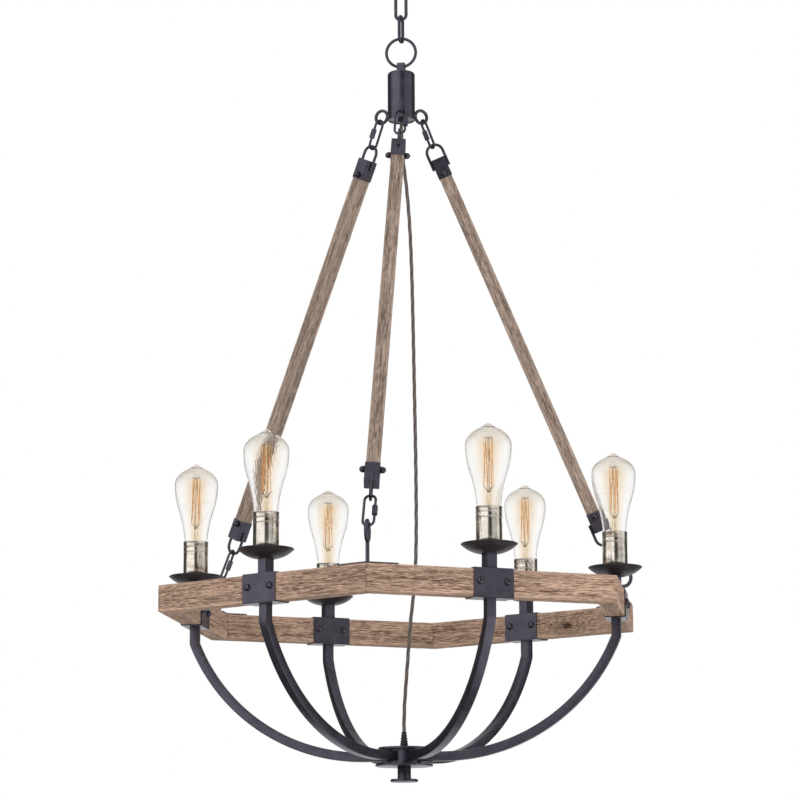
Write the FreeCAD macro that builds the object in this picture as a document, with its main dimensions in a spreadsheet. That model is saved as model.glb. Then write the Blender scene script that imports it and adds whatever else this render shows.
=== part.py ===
"""Six-light chandelier: a hexagonal wood ring hung from three wood hangers.

Row frame: millimetres, +Z up, the origin at the bearing point inside the top of
the upper chain link. One hanger corner of the ring points along -Y.
Ring pieces are drawn with +X radial, +Y along the ring and +Z up, then turned
about Z to their place. Hanger pieces are drawn with -Z running down the hanger
from the canister's eye, then tilted.
"""
import FreeCAD
import Part
import Sketcher
import math
import os
from types import SimpleNamespace

from FreeCAD import Placement, Rotation, Vector

doc = FreeCAD.newDocument("chandelier")

# ---------------------------------------------------------------- driving sizes
SIZES = [
    # chain links and loop ring
    ("link_wire", 5.0), ("link_length", 46.0), ("link_width", 21.0), ("link_turn", 78.0),
    ("loop_wire", 4.6), ("loop_outer", 50.0),
    ("bearing_gap", 0.3),
    # canister
    ("can_clear", 7.4), ("can_diameter", 42.0), ("can_height", 76.2), ("can_wall", 1.5),
    ("can_round", 4.0), ("can_twist", 7.7),
    ("hook_width", 12.0), ("hook_thick", 3.5), ("hook_inner", 10.0),
    ("base_recess", 1.5), ("base_thick", 2.0), ("collar_diameter", 11.0), ("collar_height", 4.0),
    ("seat_clear", 0.1),
    ("can_eye_outer", 25.3), ("can_eye_wire", 5.0), ("can_eye_stand", 1.4), ("can_eye_stud", 4.4),
    ("can_eye_up", 10.8),
    # hangers
    ("hanger_drop", 700.0), ("hanger_sag", 2.5),
    ("quick_wire", 3.8), ("quick_top_length", 49.5), ("quick_low_length", 54.5), ("quick_width", 19.5),
    ("nut_flats", 7.4), ("nut_length", 15.0), ("nut_clear", 0.1),
    ("bail_wire", 4.4), ("bail_reach", 25.0), ("bail_overlap", 15.0), ("bail_sink", 0.4),
    ("cap_outer", 21.6), ("cap_wall", 0.8), ("cap_length", 31.6),
    ("bar_chamfer", 1.0), ("bolt_inset", 6.3), ("bolt_diameter", 5.0),
    ("bolt_head", 9.5), ("bolt_proud", 8.0),
    # wood ring
    ("ring_across", 762.0), ("beam_thick", 29.0), ("beam_height", 39.0),
    ("sleeve_length", 60.0), ("sleeve_wall", 1.5),
    ("screw_spread", 41.0), ("screw_raise", 2.0), ("screw_head", 10.5), ("screw_dome", 4.2),
    ("screw_shank", 3.6), ("screw_depth", 10.0),
    ("plate_leg", 49.0), ("plate_thick", 1.6),
    ("ring_eye_outer", 34.0), ("ring_eye_wire", 5.6), ("ring_eye_up", 45.4), ("ring_eye_depth", 26.0),
    # arms and posts
    ("arm_side", 14.0), ("arm_wall", 1.5), ("arm_run", 60.0), ("arm_spare", 20.0), ("arm_bend", 65.0),
    ("post_side", 17.0), ("post_height", 21.3), ("arm_short", 2.0),
    # saucers and sockets
    ("saucer_diameter", 80.0), ("saucer_floor", 14.0), ("saucer_rise", 13.5), ("saucer_belly", 46.0),
    ("saucer_wall", 1.5),
    ("neck_diameter", 9.6), ("neck_depth", 8.0),
    ("socket_diameter", 37.2), ("socket_wall", 0.8), ("socket_height", 64.3),
    ("bead_radius", 0.9), ("bead_upper", 8.0), ("bead_lower", 15.5),
    ("insulator_diameter", 32.0), ("insulator_height", 52.0), ("insulator_floor", 22.0),
    ("shell_wall", 1.6), ("shell_height", 28.5), ("shell_bore", 26.8),
    # bulbs
    ("bulb_base", 25.6), ("bulb_base_height", 26.0), ("bulb_contact", 4.0),
    ("bulb_height", 118.8), ("bulb_diameter", 65.6), ("bulb_shoulder", 32.0), ("bulb_tip", 6.6),
    ("bulb_neck_round", 190.0), ("bulb_belly_round", 120.0), ("bulb_side_round", 22.0),
    ("bulb_crown", 27.0), ("bulb_mouth", 34.4), ("bulb_wall", 0.9), ("bulb_seat_gap", 0.3),
    ("bulb_foot_wide", 15.9), ("bulb_foot_high", 2.4),
    ("stem_foot_wide", 12.8), ("stem_tip_wide", 4.8), ("stem_height", 34.0),
    # hub
    ("hub_top_diameter", 76.5), ("hub_top_thick", 3.6), ("hub_drum_diameter", 50.0),
    ("hub_bottom_diameter", 85.0), ("hub_bottom_thick", 3.0),
    ("hub_above", 2.9), ("hub_below", 4.3),
    ("finial_stem", 19.8), ("finial_drop", 18.6), ("finial_flange", 40.6), ("finial_thick", 4.2),
    ("grip_base", 13.0), ("grip_tip", 8.0), ("grip_height", 22.4), ("grip_groove", 0.8),
    ("cord_diameter", 5.6),
]

sheet = doc.addObject("Spreadsheet::Sheet", "Sizes")
for row, (alias, value) in enumerate(SIZES, start=1):
    sheet.set(f"A{row}", alias)
    sheet.set(f"B{row}", str(value))
    sheet.setAlias(f"B{row}", alias)
doc.recompute()


class Size:
    """A number that remembers the sheet expression it comes from."""

    def __init__(self, value, text):
        self.value = value
        self.text = text

    def join(self, other, sign, value):
        text = other.text if isinstance(other, Size) else repr(float(other))
        return Size(value, f"({self.text} {sign} {text})")

    def __float__(self):
        return self.value

    def __add__(self, other):
        return self.join(other, "+", self.value + float(other))

    def __sub__(self, other):
        return self.join(other, "-", self.value - float(other))

    def __mul__(self, other):
        return self.join(other, "*", self.value * float(other))

    def __truediv__(self, other):
        return self.join(other, "/", self.value / float(other))

    def __neg__(self):
        return Size(-self.value, f"(0 - {self.text})")


def root(size):
    """Square root of a size."""
    return Size(math.sqrt(size.value), f"sqrt({size.text})")


S = SimpleNamespace(**{alias: Size(float(sheet.get(alias)), f"Sizes.{alias}") for alias, value in SIZES})


# ---------------------------------------------------------------- small helpers
def bind(thing, **sizes):
    """Drive an object's properties from the sheet."""
    for name, size in sizes.items():
        if isinstance(size, Size):
            thing.setExpression(name, size.text)
        else:
            setattr(thing, name, size)
    return thing


def shifted(x=0.0, y=0.0, z=0.0):
    return Placement(Vector(float(x), float(y), float(z)), Rotation())


def turned(axis, degrees):
    return Placement(Vector(), Rotation(axis, degrees))


X_AXIS, Y_AXIS, Z_AXIS = Vector(1, 0, 0), Vector(0, 1, 0), Vector(0, 0, 1)


def new_body(name):
    return doc.addObject("PartDesign::Body", name)


def new_sketch(body, name, role, lift=None):
    """A sketch flat on one of the body's own origin planes."""
    sketch = body.newObject("Sketcher::SketchObject", name)
    plane = next(item for item in body.Origin.OriginFeatures if item.Role == role)
    sketch.AttachmentSupport = (plane, [""])
    sketch.MapMode = "FlatFace"
    if lift is not None:
        sketch.setExpression("AttachmentOffset.Base.z", lift.text)
    return sketch


def dimension(sketch, kind, edge, point, size):
    """Measure one coordinate of a sketch point from the origin."""
    number = sketch.addConstraint(Sketcher.Constraint(kind, -1, 1, edge, point, float(size)))
    if isinstance(size, Size):
        sketch.setExpression(f"Constraints[{number}]", size.text)


def outline(sketch, points, arcs=None):
    """A closed outline. arcs maps an edge's number to its centre and its turn: 1 left, -1 right."""
    arcs = arcs or {}
    first = sketch.GeometryCount
    ends = []
    for number, (start, end) in enumerate(zip(points, points[1:] + points[:1])):
        a = Vector(float(start[0]), float(start[1]), 0)
        b = Vector(float(end[0]), float(end[1]), 0)
        if number in arcs:
            centre, turn = arcs[number]
            c = Vector(float(centre[0]), float(centre[1]), 0)
            low, high = (a, b) if turn > 0 else (b, a)
            angles = [math.atan2(p.y - c.y, p.x - c.x) for p in (low, high)]
            if angles[1] <= angles[0]:
                angles[1] += 2 * math.pi
            circle = Part.Circle(c, Z_AXIS, (a - c).Length)
            edge = sketch.addGeometry(Part.ArcOfCircle(circle, *angles))
            ends.append((1, 2) if turn > 0 else (2, 1))
        else:
            edge = sketch.addGeometry(Part.LineSegment(a, b))
            ends.append((1, 2))
    count = len(points)
    for number in range(count):
        edge, after = first + number, first + (number + 1) % count
        sketch.addConstraint(
            Sketcher.Constraint("Coincident", edge, ends[number][1], after, ends[(number + 1) % count][0]))
    for number, point in enumerate(points):
        dimension(sketch, "DistanceX", first + number, ends[number][0], point[0])
        dimension(sketch, "DistanceY", first + number, ends[number][0], point[1])
    for number, (centre, turn) in arcs.items():
        start, end = points[number], points[(number + 1) % count]
        flat = abs(float(end[0]) - float(start[0])) > abs(float(end[1]) - float(start[1]))
        dimension(sketch, "DistanceY" if flat else "DistanceX", first + number, 3, centre[1 if flat else 0])


def rectangle(sketch, x_low, y_low, x_high, y_high):
    outline(sketch, [(x_low, y_low), (x_high, y_low), (x_high, y_high), (x_low, y_high)])


def circle(sketch, x, y, radius):
    edge = sketch.addGeometry(Part.Circle(Vector(float(x), float(y), 0), Z_AXIS, float(radius)))
    dimension(sketch, "DistanceX", edge, 3, x)
    dimension(sketch, "DistanceY", edge, 3, y)
    number = sketch.addConstraint(Sketcher.Constraint("Radius", edge, float(radius)))
    sketch.setExpression(f"Constraints[{number}]", radius.text)


def pad(body, sketch, length, both_ways=False, cut=False):
    feature = body.newObject("PartDesign::Pocket" if cut else "PartDesign::Pad", sketch.Name + "_pad")
    feature.Profile = sketch
    if both_ways:
        feature.SideType = "Symmetric"
    return bind(feature, Length=length)


def turning(name, points, arcs=None):
    """A body turned about Z from its half section, given as radius and height."""
    body = new_body(name)
    sketch = new_sketch(body, name + "_section", "XZ_Plane")
    outline(sketch, points, arcs)
    turn = body.newObject("PartDesign::Revolution", name + "_turn")
    turn.Profile = sketch
    turn.ReferenceAxis = (sketch, ["V_Axis"])
    return body


def wire_loop(name, wire, length, width):
    """An obround link of round wire in the XZ plane, centred on the origin."""
    body = new_body(name)
    side, half = (width - wire) / 2, (length - width) / 2
    path = new_sketch(body, name + "_path", "XZ_Plane")
    outline(path, [(side, -half), (side, half), (-side, half), (-side, -half)],
            {1: ((0, half), 1), 3: ((0, -half), 1)})
    section = new_sketch(body, name + "_wire", "XY_Plane")
    circle(section, side, 0, wire / 2)
    pipe = body.newObject("PartDesign::AdditivePipe", name + "_pipe")
    pipe.Profile = section
    pipe.Spine = (path, [])
    return body


def torus(name, outer, wire):
    ring = doc.addObject("Part::Torus", name)
    return bind(ring, Radius1=(outer - wire) / 2, Radius2=wire / 2)


def cylinder(name, radius, height, place=None):
    rod = doc.addObject("Part::Cylinder", name)
    rod.Placement = place or Placement()
    return bind(rod, Radius=radius, Height=height)


def block(name, x, y, z, place=None):
    """A box centred on its placement in X and Y, rising from it in Z."""
    box = doc.addObject("Part::Box", name)
    box.Placement = (place or Placement()) * shifted(x / -2, y / -2)
    return bind(box, Length=x, Width=y, Height=z)


def joined(name, *pieces):
    fuse = doc.addObject("Part::MultiFuse", name)
    fuse.Shapes = list(pieces)
    return fuse


def grouped(name, *pieces):
    group = doc.addObject("Part::Compound", name)
    group.Links = list(pieces)
    return group


def cut(name, base, tool):
    result = doc.addObject("Part::Cut", name)
    result.Base, result.Tool = base, tool
    return result


NODES = []


def node(thing, label, place=None):
    """Hand an object over as a finished sub-part."""
    thing.Label = label
    if place is not None:
        thing.Placement = place
    NODES.append(thing)
    return thing


def copies(label, master, places):
    """One sub-part that holds identical pieces, a separate solid at each place."""
    doc.recompute()
    group = doc.addObject("Part::Feature", label)
    group.Shape = Part.makeCompound([
        master.Shape.transformed(place.toMatrix()) for place in places])
    return node(group, label)


# ---------------------------------------------------------------- places
GAP = float(S.bearing_gap)

lower_link_z = -(2 * float(S.link_length - S.link_wire * 2)) + GAP
loop_inside_top = lower_link_z + GAP
loop_z = loop_inside_top + float(S.loop_wire - S.loop_outer / 2)
can_top_z = loop_z - float(S.loop_outer / 2 + S.can_clear)
can_foot_z = can_top_z - float(S.can_height)

# eyes on the canister and on the ring, and the straight line between them
can_eye_r = float(S.can_diameter / 2 + S.can_eye_outer / 2 + S.can_eye_stand)
can_eye_z = can_foot_z + float(S.can_eye_up)
beam_centre_r = float(S.ring_across / 2) * math.cos(math.radians(30)) - float(S.beam_thick / 2)
ring_eye_r = beam_centre_r / math.cos(math.radians(30))
ring_eye_z = can_eye_z - float(S.hanger_drop)
can_twist = float(S.can_twist)
can_eye_in = can_eye_r * math.cos(math.radians(can_twist))
can_eye_aside = can_eye_r * math.sin(math.radians(can_twist))
hanger_spread = math.hypot(ring_eye_r - can_eye_in, can_eye_aside)
hanger_swing = math.degrees(math.atan2(-can_eye_aside, ring_eye_r - can_eye_in))
hanger_lean = math.degrees(math.atan2(hanger_spread, float(S.hanger_drop)))
hanger_length = math.hypot(hanger_spread, float(S.hanger_drop))
ring_top_z = ring_eye_z - float(S.ring_eye_up)
post_foot_z = ring_top_z + float(S.seat_clear + S.sleeve_wall)
saucer_z = post_foot_z + float(S.post_height)
socket_z = saucer_z + float(S.saucer_wall)

CORNERS = [-90 + 60 * k for k in range(6)]
SIDES = [-60 + 60 * k for k in range(6)]
HANGER_CORNERS = CORNERS[::2]


def on_ring(azimuth, radius=0.0, z=0.0):
    return turned(Z_AXIS, azimuth) * shifted(radius, 0, z)


def on_can(azimuth, radius=0.0, z=0.0):
    """A place on the canister, which sits turned a little against the ring."""
    return on_ring(azimuth + can_twist, radius, z)


def on_hanger(azimuth):
    """From the canister's eye, looking down the straight line to the eye at the ring's corner."""
    eye = on_can(azimuth, can_eye_r, can_eye_z).Base
    heading = turned(Z_AXIS, azimuth + hanger_swing) * turned(Y_AXIS, -hanger_lean)
    return Placement(eye, heading.Rotation)


# ---------------------------------------------------------------- chain
def make_chain():
    reach = float(S.link_length / 2 - S.link_wire)
    upper = wire_loop("upper_link", S.link_wire, S.link_length, S.link_width)
    node(upper, "upper_link", shifted(0, 0, -reach))
    lower = wire_loop("lower_link", S.link_wire, S.link_length, S.link_width)
    node(lower, "lower_link", shifted(0, 0, lower_link_z + reach) * turned(Z_AXIS, float(S.link_turn)))
    loop = torus("loop_ring", S.loop_outer, S.loop_wire)
    node(loop, "loop_ring", shifted(0, 0, loop_z) * turned(X_AXIS, 90))


# ---------------------------------------------------------------- canister
def make_canister():
    outer, wall, high, bend = S.can_diameter / 2, S.can_wall, S.can_height, S.can_round
    cup = turning("can_cup", [
        (outer - wall, 0), (outer, 0), (outer, high - bend), (outer - bend, high),
        (0, high), (0, high - wall), (outer - wall, high - wall)],
        {2: ((outer - bend, high - bend), 1)})

    # the strap clears the loop ring at the strap's edges, where the ring curves up
    inside = float(S.loop_outer / 2 - S.loop_wire)
    rise = inside - math.sqrt(inside ** 2 - float(S.hook_width / 2) ** 2)
    crown_z = loop_z - inside + rise + GAP - can_top_z
    legs = crown_z - float(S.hook_inner / 2)
    body = new_body("can_hook")
    sketch = new_sketch(body, "can_hook_side", "YZ_Plane")
    near, far = S.hook_inner / 2, S.hook_inner / 2 + S.hook_thick
    outline(sketch, [(near, 0), (far, 0), (far, legs), (-far, legs), (-far, 0), (-near, 0),
                     (-near, legs), (near, legs)],
            {2: ((0, legs), 1), 6: ((0, legs), -1)})
    pad(body, sketch, S.hook_width, both_ways=True)
    body.Placement = shifted(0, 0, S.can_height)
    node(joined("canister", cup, body), "canister", shifted(0, 0, can_foot_z))

    rim = outer - wall - S.seat_clear
    floor, top = S.base_recess, S.base_recess + S.base_thick
    collar, low = S.collar_diameter / 2, S.base_recess - S.collar_height
    base = turning("canister_base", [(0, low), (collar, low), (collar, floor), (rim, floor),
                                     (rim, top), (0, top)])
    node(base, "canister_base", shifted(0, 0, can_foot_z))

    eyes = []
    middle = (S.can_eye_outer - S.can_eye_wire) / 2
    for azimuth in HANGER_CORNERS:
        eye = torus("can_eye", S.can_eye_outer, S.can_eye_wire)
        eye.Placement = turned(X_AXIS, 90)
        stud = cylinder("can_eye_stud", S.can_eye_stud / 2, S.can_diameter / 4,
                        shifted(-middle) * turned(Y_AXIS, -90))
        welded = joined("can_eye_welded", eye, stud)
        welded.Placement = on_can(azimuth, can_eye_r, can_eye_z)
        eyes.append(welded)
    wall_of_can = cylinder("can_side", outer, S.can_height, shifted(0, 0, can_foot_z))
    node(cut("canister_eyes", grouped("can_eye_set", *eyes), wall_of_can), "canister_eyes")


# ---------------------------------------------------------------- hangers
# depths down the straight line from the canister's eye to the ring's eye
quick_start = float(S.can_eye_outer / 2 - S.can_eye_wire - S.quick_wire) - GAP
quick_inside = quick_start + float(S.quick_top_length - S.quick_wire)
bail_top = quick_inside - GAP - float(S.bail_wire)
cap_top = bail_top + float(S.bail_reach)
low_start = float(S.ring_eye_outer / 2 - S.ring_eye_wire - S.quick_wire) - GAP
low_inside = hanger_length - low_start - float(S.quick_low_length - S.quick_wire)
low_bail_top = low_inside + GAP + float(S.bail_wire)
low_cap_end = low_bail_top - float(S.bail_reach)

# the bar's weight lets it hang a little inside that line, so each link leans towards the bar
bail_side = (S.cap_outer + S.bail_wire) / 2 - S.bail_sink
arch = float(S.bail_wire / 2 + bail_side)
sag = float(S.hanger_sag)
top_link_tilt = math.degrees(math.asin(sag / (bail_top + arch)))
low_link_tilt = math.degrees(math.asin(sag / (hanger_length - low_bail_top + arch)))
BAR_ROLLS = [8, -25, -3]
LOW_LINK_ROLLS = [0, 0, 18]


def make_end_fitting(name):
    """Square cap with its closed end on the XY plane and its bail standing above it."""
    cap = new_body(name + "_cap")
    square = new_sketch(cap, name + "_square", "XY_Plane")
    half = S.cap_outer / 2
    rectangle(square, -half, -half, half, half)
    solid = pad(cap, square, S.cap_length)
    solid.Reversed = True
    hollow = new_sketch(cap, name + "_hollow", "XY_Plane", lift=-S.cap_wall)
    inside = half - S.cap_wall
    rectangle(hollow, -inside, -inside, inside, inside)
    pad(cap, hollow, S.cap_length, cut=True)
    hole = new_sketch(cap, name + "_hole", "XZ_Plane")
    circle(hole, 0, S.bolt_inset - S.cap_length, S.bolt_diameter / 2 + S.seat_clear)
    pad(cap, hole, S.cap_outer * 2, both_ways=True, cut=True)

    bail = new_body(name + "_bail")
    side = bail_side
    crown = S.bail_reach - S.bail_wire / 2 - side
    path = new_sketch(bail, name + "_path", "XZ_Plane")
    foot = -S.bail_overlap
    ends = [(side, foot), (side, crown), (-side, crown), (-side, foot)]
    right = path.addGeometry(Part.LineSegment(*[Vector(float(x), float(z), 0) for x, z in ends[:2]]))
    centre = Vector(0, float(crown), 0)
    arch = path.addGeometry(Part.ArcOfCircle(Part.Circle(centre, Z_AXIS, float(side)), 0, math.pi))
    left = path.addGeometry(Part.LineSegment(*[Vector(float(x), float(z), 0) for x, z in ends[2:]]))
    for edge, point, (x, z) in ((right, 1, ends[0]), (arch, 1, ends[1]), (arch, 2, ends[2]),
                                (left, 2, ends[3])):
        dimension(path, "DistanceX", edge, point, x)
        dimension(path, "DistanceY", edge, point, z)
    dimension(path, "DistanceY", arch, 3, crown)
    path.addConstraint(Sketcher.Constraint("Coincident", right, 2, arch, 1))
    path.addConstraint(Sketcher.Constraint("Coincident", arch, 2, left, 1))
    section = new_sketch(bail, name + "_wire", "XY_Plane", lift=foot)
    circle(section, side, 0, S.bail_wire / 2)
    pipe = bail.newObject("PartDesign::AdditivePipe", name + "_pipe")
    pipe.Profile = section
    pipe.Spine = (path, [])
    return joined(name, cap, bail)


def make_bolt(name):
    """Through-bolt along Y with a domed nut at each end."""
    shank, head = S.bolt_diameter / 2, S.bolt_head / 2
    seat = S.cap_outer / 2
    tip = seat + S.bolt_proud
    shoulder = tip - head
    bolt = turning(name, [
        (0, -tip), (head, -shoulder), (head, -seat), (shank, -seat),
        (shank, seat), (head, seat), (head, shoulder), (0, tip)],
        {0: ((0, -shoulder), 1), 6: ((0, shoulder), 1)})
    bolt.Placement = turned(X_AXIS, 90)
    return bolt


def make_bar(name):
    """Wood bar with broken edges, its upper end on the XY plane."""
    long = low_cap_end - cap_top - 2 * float(S.cap_wall + S.seat_clear)
    body = new_body(name)
    half = S.cap_outer / 2 - S.cap_wall - S.seat_clear
    flat = half - S.bar_chamfer
    section = new_sketch(body, name + "_section", "XY_Plane")
    outline(section, [(flat, -half), (half, -flat), (half, flat), (flat, half),
                      (-flat, half), (-half, flat), (-half, -flat), (-flat, -half)])
    solid = pad(body, section, long)
    solid.Reversed = True
    inset = float(S.cap_length - S.bolt_inset - S.cap_wall - S.seat_clear)
    holes = new_sketch(body, name + "_holes", "XZ_Plane")
    for z in (-inset, inset - long):
        circle(holes, 0, z, S.bolt_diameter / 2 + S.seat_clear)
    pad(body, holes, S.cap_outer, both_ways=True, cut=True)
    return body


def make_nut(name):
    """Hexagonal screw sleeve, centred on its leg of the quick link."""
    body = new_body(name)
    sketch = new_sketch(body, name + "_hex", "XY_Plane")
    corner = S.nut_flats / math.sqrt(3)
    outline(sketch, [(corner * math.cos(math.radians(60 * k)), corner * math.sin(math.radians(60 * k)))
                     for k in range(6)])
    circle(sketch, 0, 0, S.quick_wire / 2 + S.nut_clear)
    pad(body, sketch, S.nut_length, both_ways=True)
    return body


def make_hangers():
    upside_down = turned(Y_AXIS, 180)
    leg = float(S.quick_width - S.quick_wire) / 2
    bolt_in = float(S.cap_length - S.bolt_inset)
    for number, azimuth in enumerate(HANGER_CORNERS, start=1):
        line = on_hanger(azimuth)
        place = line * shifted(-sag) * turned(Z_AXIS, BAR_ROLLS[number - 1])
        bar_top = cap_top + float(S.cap_wall + S.seat_clear)
        node(make_bar(f"bar_{number}"), f"hanger_bar_{number}", place * shifted(0, 0, -bar_top))

        upper = make_end_fitting(f"fit_{number}a")
        lower = make_end_fitting(f"fit_{number}b")
        upper.Placement = shifted(0, 0, -cap_top)
        lower.Placement = shifted(0, 0, -low_cap_end) * upside_down
        node(grouped(f"fittings_{number}", upper, lower), f"hanger_fittings_{number}", place)

        bolts = []
        for end, depth in (("a", cap_top + bolt_in), ("b", low_cap_end - bolt_in)):
            bolt = make_bolt(f"bolt_{number}{end}")
            bolt.Placement = shifted(0, 0, -depth) * bolt.Placement
            bolts.append(bolt)
        node(grouped(f"bolts_{number}", *bolts), f"hanger_bolts_{number}", place)

        links = []
        top_middle = quick_start + float(S.quick_top_length) / 2
        low_middle = low_start + float(S.quick_low_length) / 2
        low_leg = -leg if number == 3 else leg
        for end, long, frame, side in (
                ("top", S.quick_top_length,
                 line * turned(Y_AXIS, top_link_tilt) * shifted(0, 0, -top_middle), leg),
                ("bottom", S.quick_low_length,
                 line * shifted(0, 0, -hanger_length) * turned(Y_AXIS, -low_link_tilt)
                 * turned(Z_AXIS, LOW_LINK_ROLLS[number - 1]) * shifted(0, 0, low_middle), low_leg)):
            link = wire_loop(f"quick_{number}_{end}", S.quick_wire, long, S.quick_width)
            link.Placement = frame * turned(Z_AXIS, 90)
            links.append(link)
            nut = make_nut(f"nut_{number}_{end}")
            node(nut, f"link_nut_{number}_{end}", frame * shifted(0, side))
        node(grouped(f"links_{number}", *links), f"hanger_links_{number}")


# ---------------------------------------------------------------- wood ring
arm_hole = S.arm_side + S.seat_clear * 2
screw_hole = S.screw_shank / 2 + S.seat_clear
bolt_hole = S.ring_eye_wire / 2 + S.seat_clear


def screw_places(face):
    """Screw seats on a bracket: +X outwards on the outer face, turned round on the inner one."""
    half = float(S.beam_thick / 2 + S.seat_clear + S.sleeve_wall)
    middle = float(S.screw_raise - S.beam_height / 2)
    turn = 0 if face == "outer" else 180
    reach = beam_centre_r + (half if face == "outer" else -half)
    return [shifted(reach, side * float(S.screw_spread / 2), middle) * turned(Z_AXIS, turn)
            * turned(Y_AXIS, 90) for side in (-1, 1)]


def make_beam(number, azimuth):
    """Mitred beam between two corners, with its holes for the arm, the screws and the eye bolt."""
    apothem = S.ring_across / 2 * math.cos(math.radians(30))
    slope = math.tan(math.radians(30))
    inner = apothem - S.beam_thick
    body = new_body(f"beam_{number}")
    plan = new_sketch(body, f"beam_{number}_plan", "XY_Plane")
    outline(plan, [(inner, -inner * slope), (apothem, -apothem * slope),
                   (apothem, apothem * slope), (inner, inner * slope)])
    solid = pad(body, plan, S.beam_height)
    solid.Reversed = True
    hole = new_sketch(body, f"beam_{number}_hole", "XY_Plane")
    middle = apothem - S.beam_thick / 2
    rectangle(hole, middle - arm_hole / 2, -arm_hole / 2, middle + arm_hole / 2, arm_hole / 2)
    pad(body, hole, S.beam_height, cut=True)

    reach = S.screw_depth + S.sleeve_wall + S.seat_clear
    drills = []
    for face in ("outer", "inner"):
        for seat in screw_places(face):
            drills.append(cylinder("drill", screw_hole, reach, seat * shifted(0, 0, -reach)))
    end = -1 if number % 2 == 1 else 1
    corner_y = end * beam_centre_r * slope
    drills.append(cylinder("bolt_drill", bolt_hole, S.ring_eye_depth,
                           shifted(beam_centre_r, corner_y, -S.ring_eye_depth)))
    beam = cut(f"beam_{number}_drilled", body, grouped(f"drills_{number}", *drills))
    node(beam, f"ring_beam_{number}", on_ring(azimuth, 0, ring_top_z))


def make_bracket():
    """Box sleeve round the beam with the square post on its top."""
    wide = S.beam_thick + S.seat_clear * 2
    high = S.beam_height + S.seat_clear * 2
    walls = S.sleeve_wall * 2
    foot = shifted(beam_centre_r, 0, -(high - S.seat_clear + S.sleeve_wall))
    post_foot = shifted(beam_centre_r, 0, S.seat_clear + S.sleeve_wall)
    outside = block("sleeve", wide + walls, S.sleeve_length, high + walls, foot)
    post = block("post", S.post_side, S.post_side, S.post_height, post_foot)
    inside = block("sleeve_inside", wide, S.sleeve_length * 2, high, foot * shifted(0, 0, S.sleeve_wall))
    tunnel = block("arm_tunnel", arm_hole, arm_hole, high + walls + S.post_height * 2, foot)
    through = shifted(0, 0, S.sleeve_wall * -2)
    drills = [cylinder("sleeve_drill", screw_hole, S.sleeve_wall * 4, seat * through)
              for face in ("outer", "inner") for seat in screw_places(face)]
    tool = grouped("bracket_tools", inside, tunnel, *drills)
    return cut("bracket", joined("bracket_solid", outside, post), tool)


def make_ring():
    for number, azimuth in enumerate(SIDES, start=1):
        make_beam(number, azimuth)
    copies("beam_brackets", make_bracket(), [on_ring(azimuth, 0, ring_top_z) for azimuth in SIDES])

    head, shank = S.screw_head / 2, S.screw_shank / 2
    crown = (head * head - S.screw_dome * S.screw_dome) / (S.screw_dome * 2)
    screw = turning("screw", [(0, -S.screw_depth), (shank, -S.screw_depth), (shank, 0), (head, 0),
                              (0, S.screw_dome)], {3: ((0, -crown), 1)})
    copies("bracket_screws", screw, [on_ring(azimuth, 0, ring_top_z) * seat for azimuth in SIDES
                                     for face in ("outer", "inner") for seat in screw_places(face)])

    # corner plate: one leg along each beam, from the outer corner
    corner = S.ring_across / 2
    leg_x, leg_y = S.plate_leg / 2, S.plate_leg * math.sin(math.radians(60))
    step_x, step_y = S.beam_thick * math.sin(math.radians(60)), S.beam_thick / 2
    inside = corner - S.beam_thick / math.cos(math.radians(30))
    body = new_body("corner_plate")
    plan = new_sketch(body, "corner_plan", "XY_Plane")
    outline(plan, [(corner, 0), (corner - leg_x, leg_y), (corner - leg_x - step_x, leg_y - step_y),
                   (inside, 0), (corner - leg_x - step_x, step_y - leg_y), (corner - leg_x, -leg_y)])
    circle(plan, ring_eye_r, 0, bolt_hole)
    pad(body, plan, S.plate_thick)
    copies("corner_plates", body, [on_ring(azimuth, 0, ring_top_z) for azimuth in HANGER_CORNERS])

    eye = torus("ring_eye", S.ring_eye_outer, S.ring_eye_wire)
    eye.Placement = turned(X_AXIS, 90)
    long = S.ring_eye_up - (S.ring_eye_outer - S.ring_eye_wire) / 2 + S.ring_eye_depth - S.seat_clear
    shank = cylinder("ring_eye_shank", S.ring_eye_wire / 2, long,
                     shifted(0, 0, -(S.ring_eye_up + S.ring_eye_depth - S.seat_clear)))
    copies("eye_bolts", joined("eye_bolt", eye, shank),
           [on_ring(azimuth, ring_eye_r, ring_eye_z) for azimuth in HANGER_CORNERS])


# ---------------------------------------------------------------- arms
# the arc is a little wider than its reach, so it meets the post at an angle, at the bend
arm_reach = S.ring_across / 2 * math.cos(math.radians(30)) - S.beam_thick / 2 - S.arm_run
arm_radius = arm_reach + S.arm_spare
arm_below = arm_radius + S.arm_bend - root(arm_radius * arm_radius - arm_reach * arm_reach)


def arm_outline(sketch, inset, top, inner_end):
    """Side view of the arm: a post that bends sharply into an arc, then runs level to the hub."""
    half = S.arm_side / 2 - inset
    centre = (S.arm_run, arm_radius - arm_below)
    right, left = half + beam_centre_r, -half + beam_centre_r
    outer, inner = arm_radius + half, arm_radius - half
    bend_right = centre[1] - root(outer * outer - (right - S.arm_run) * (right - S.arm_run))
    bend_left = centre[1] - root(inner * inner - (left - S.arm_run) * (left - S.arm_run))
    low, high = centre[1] - outer, centre[1] - inner
    outline(sketch, [(inner_end, low), (S.arm_run, low), (right, bend_right), (right, top),
                     (left, top), (left, bend_left), (S.arm_run, high), (inner_end, high)],
            {1: (centre, 1), 5: (centre, -1)})


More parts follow.
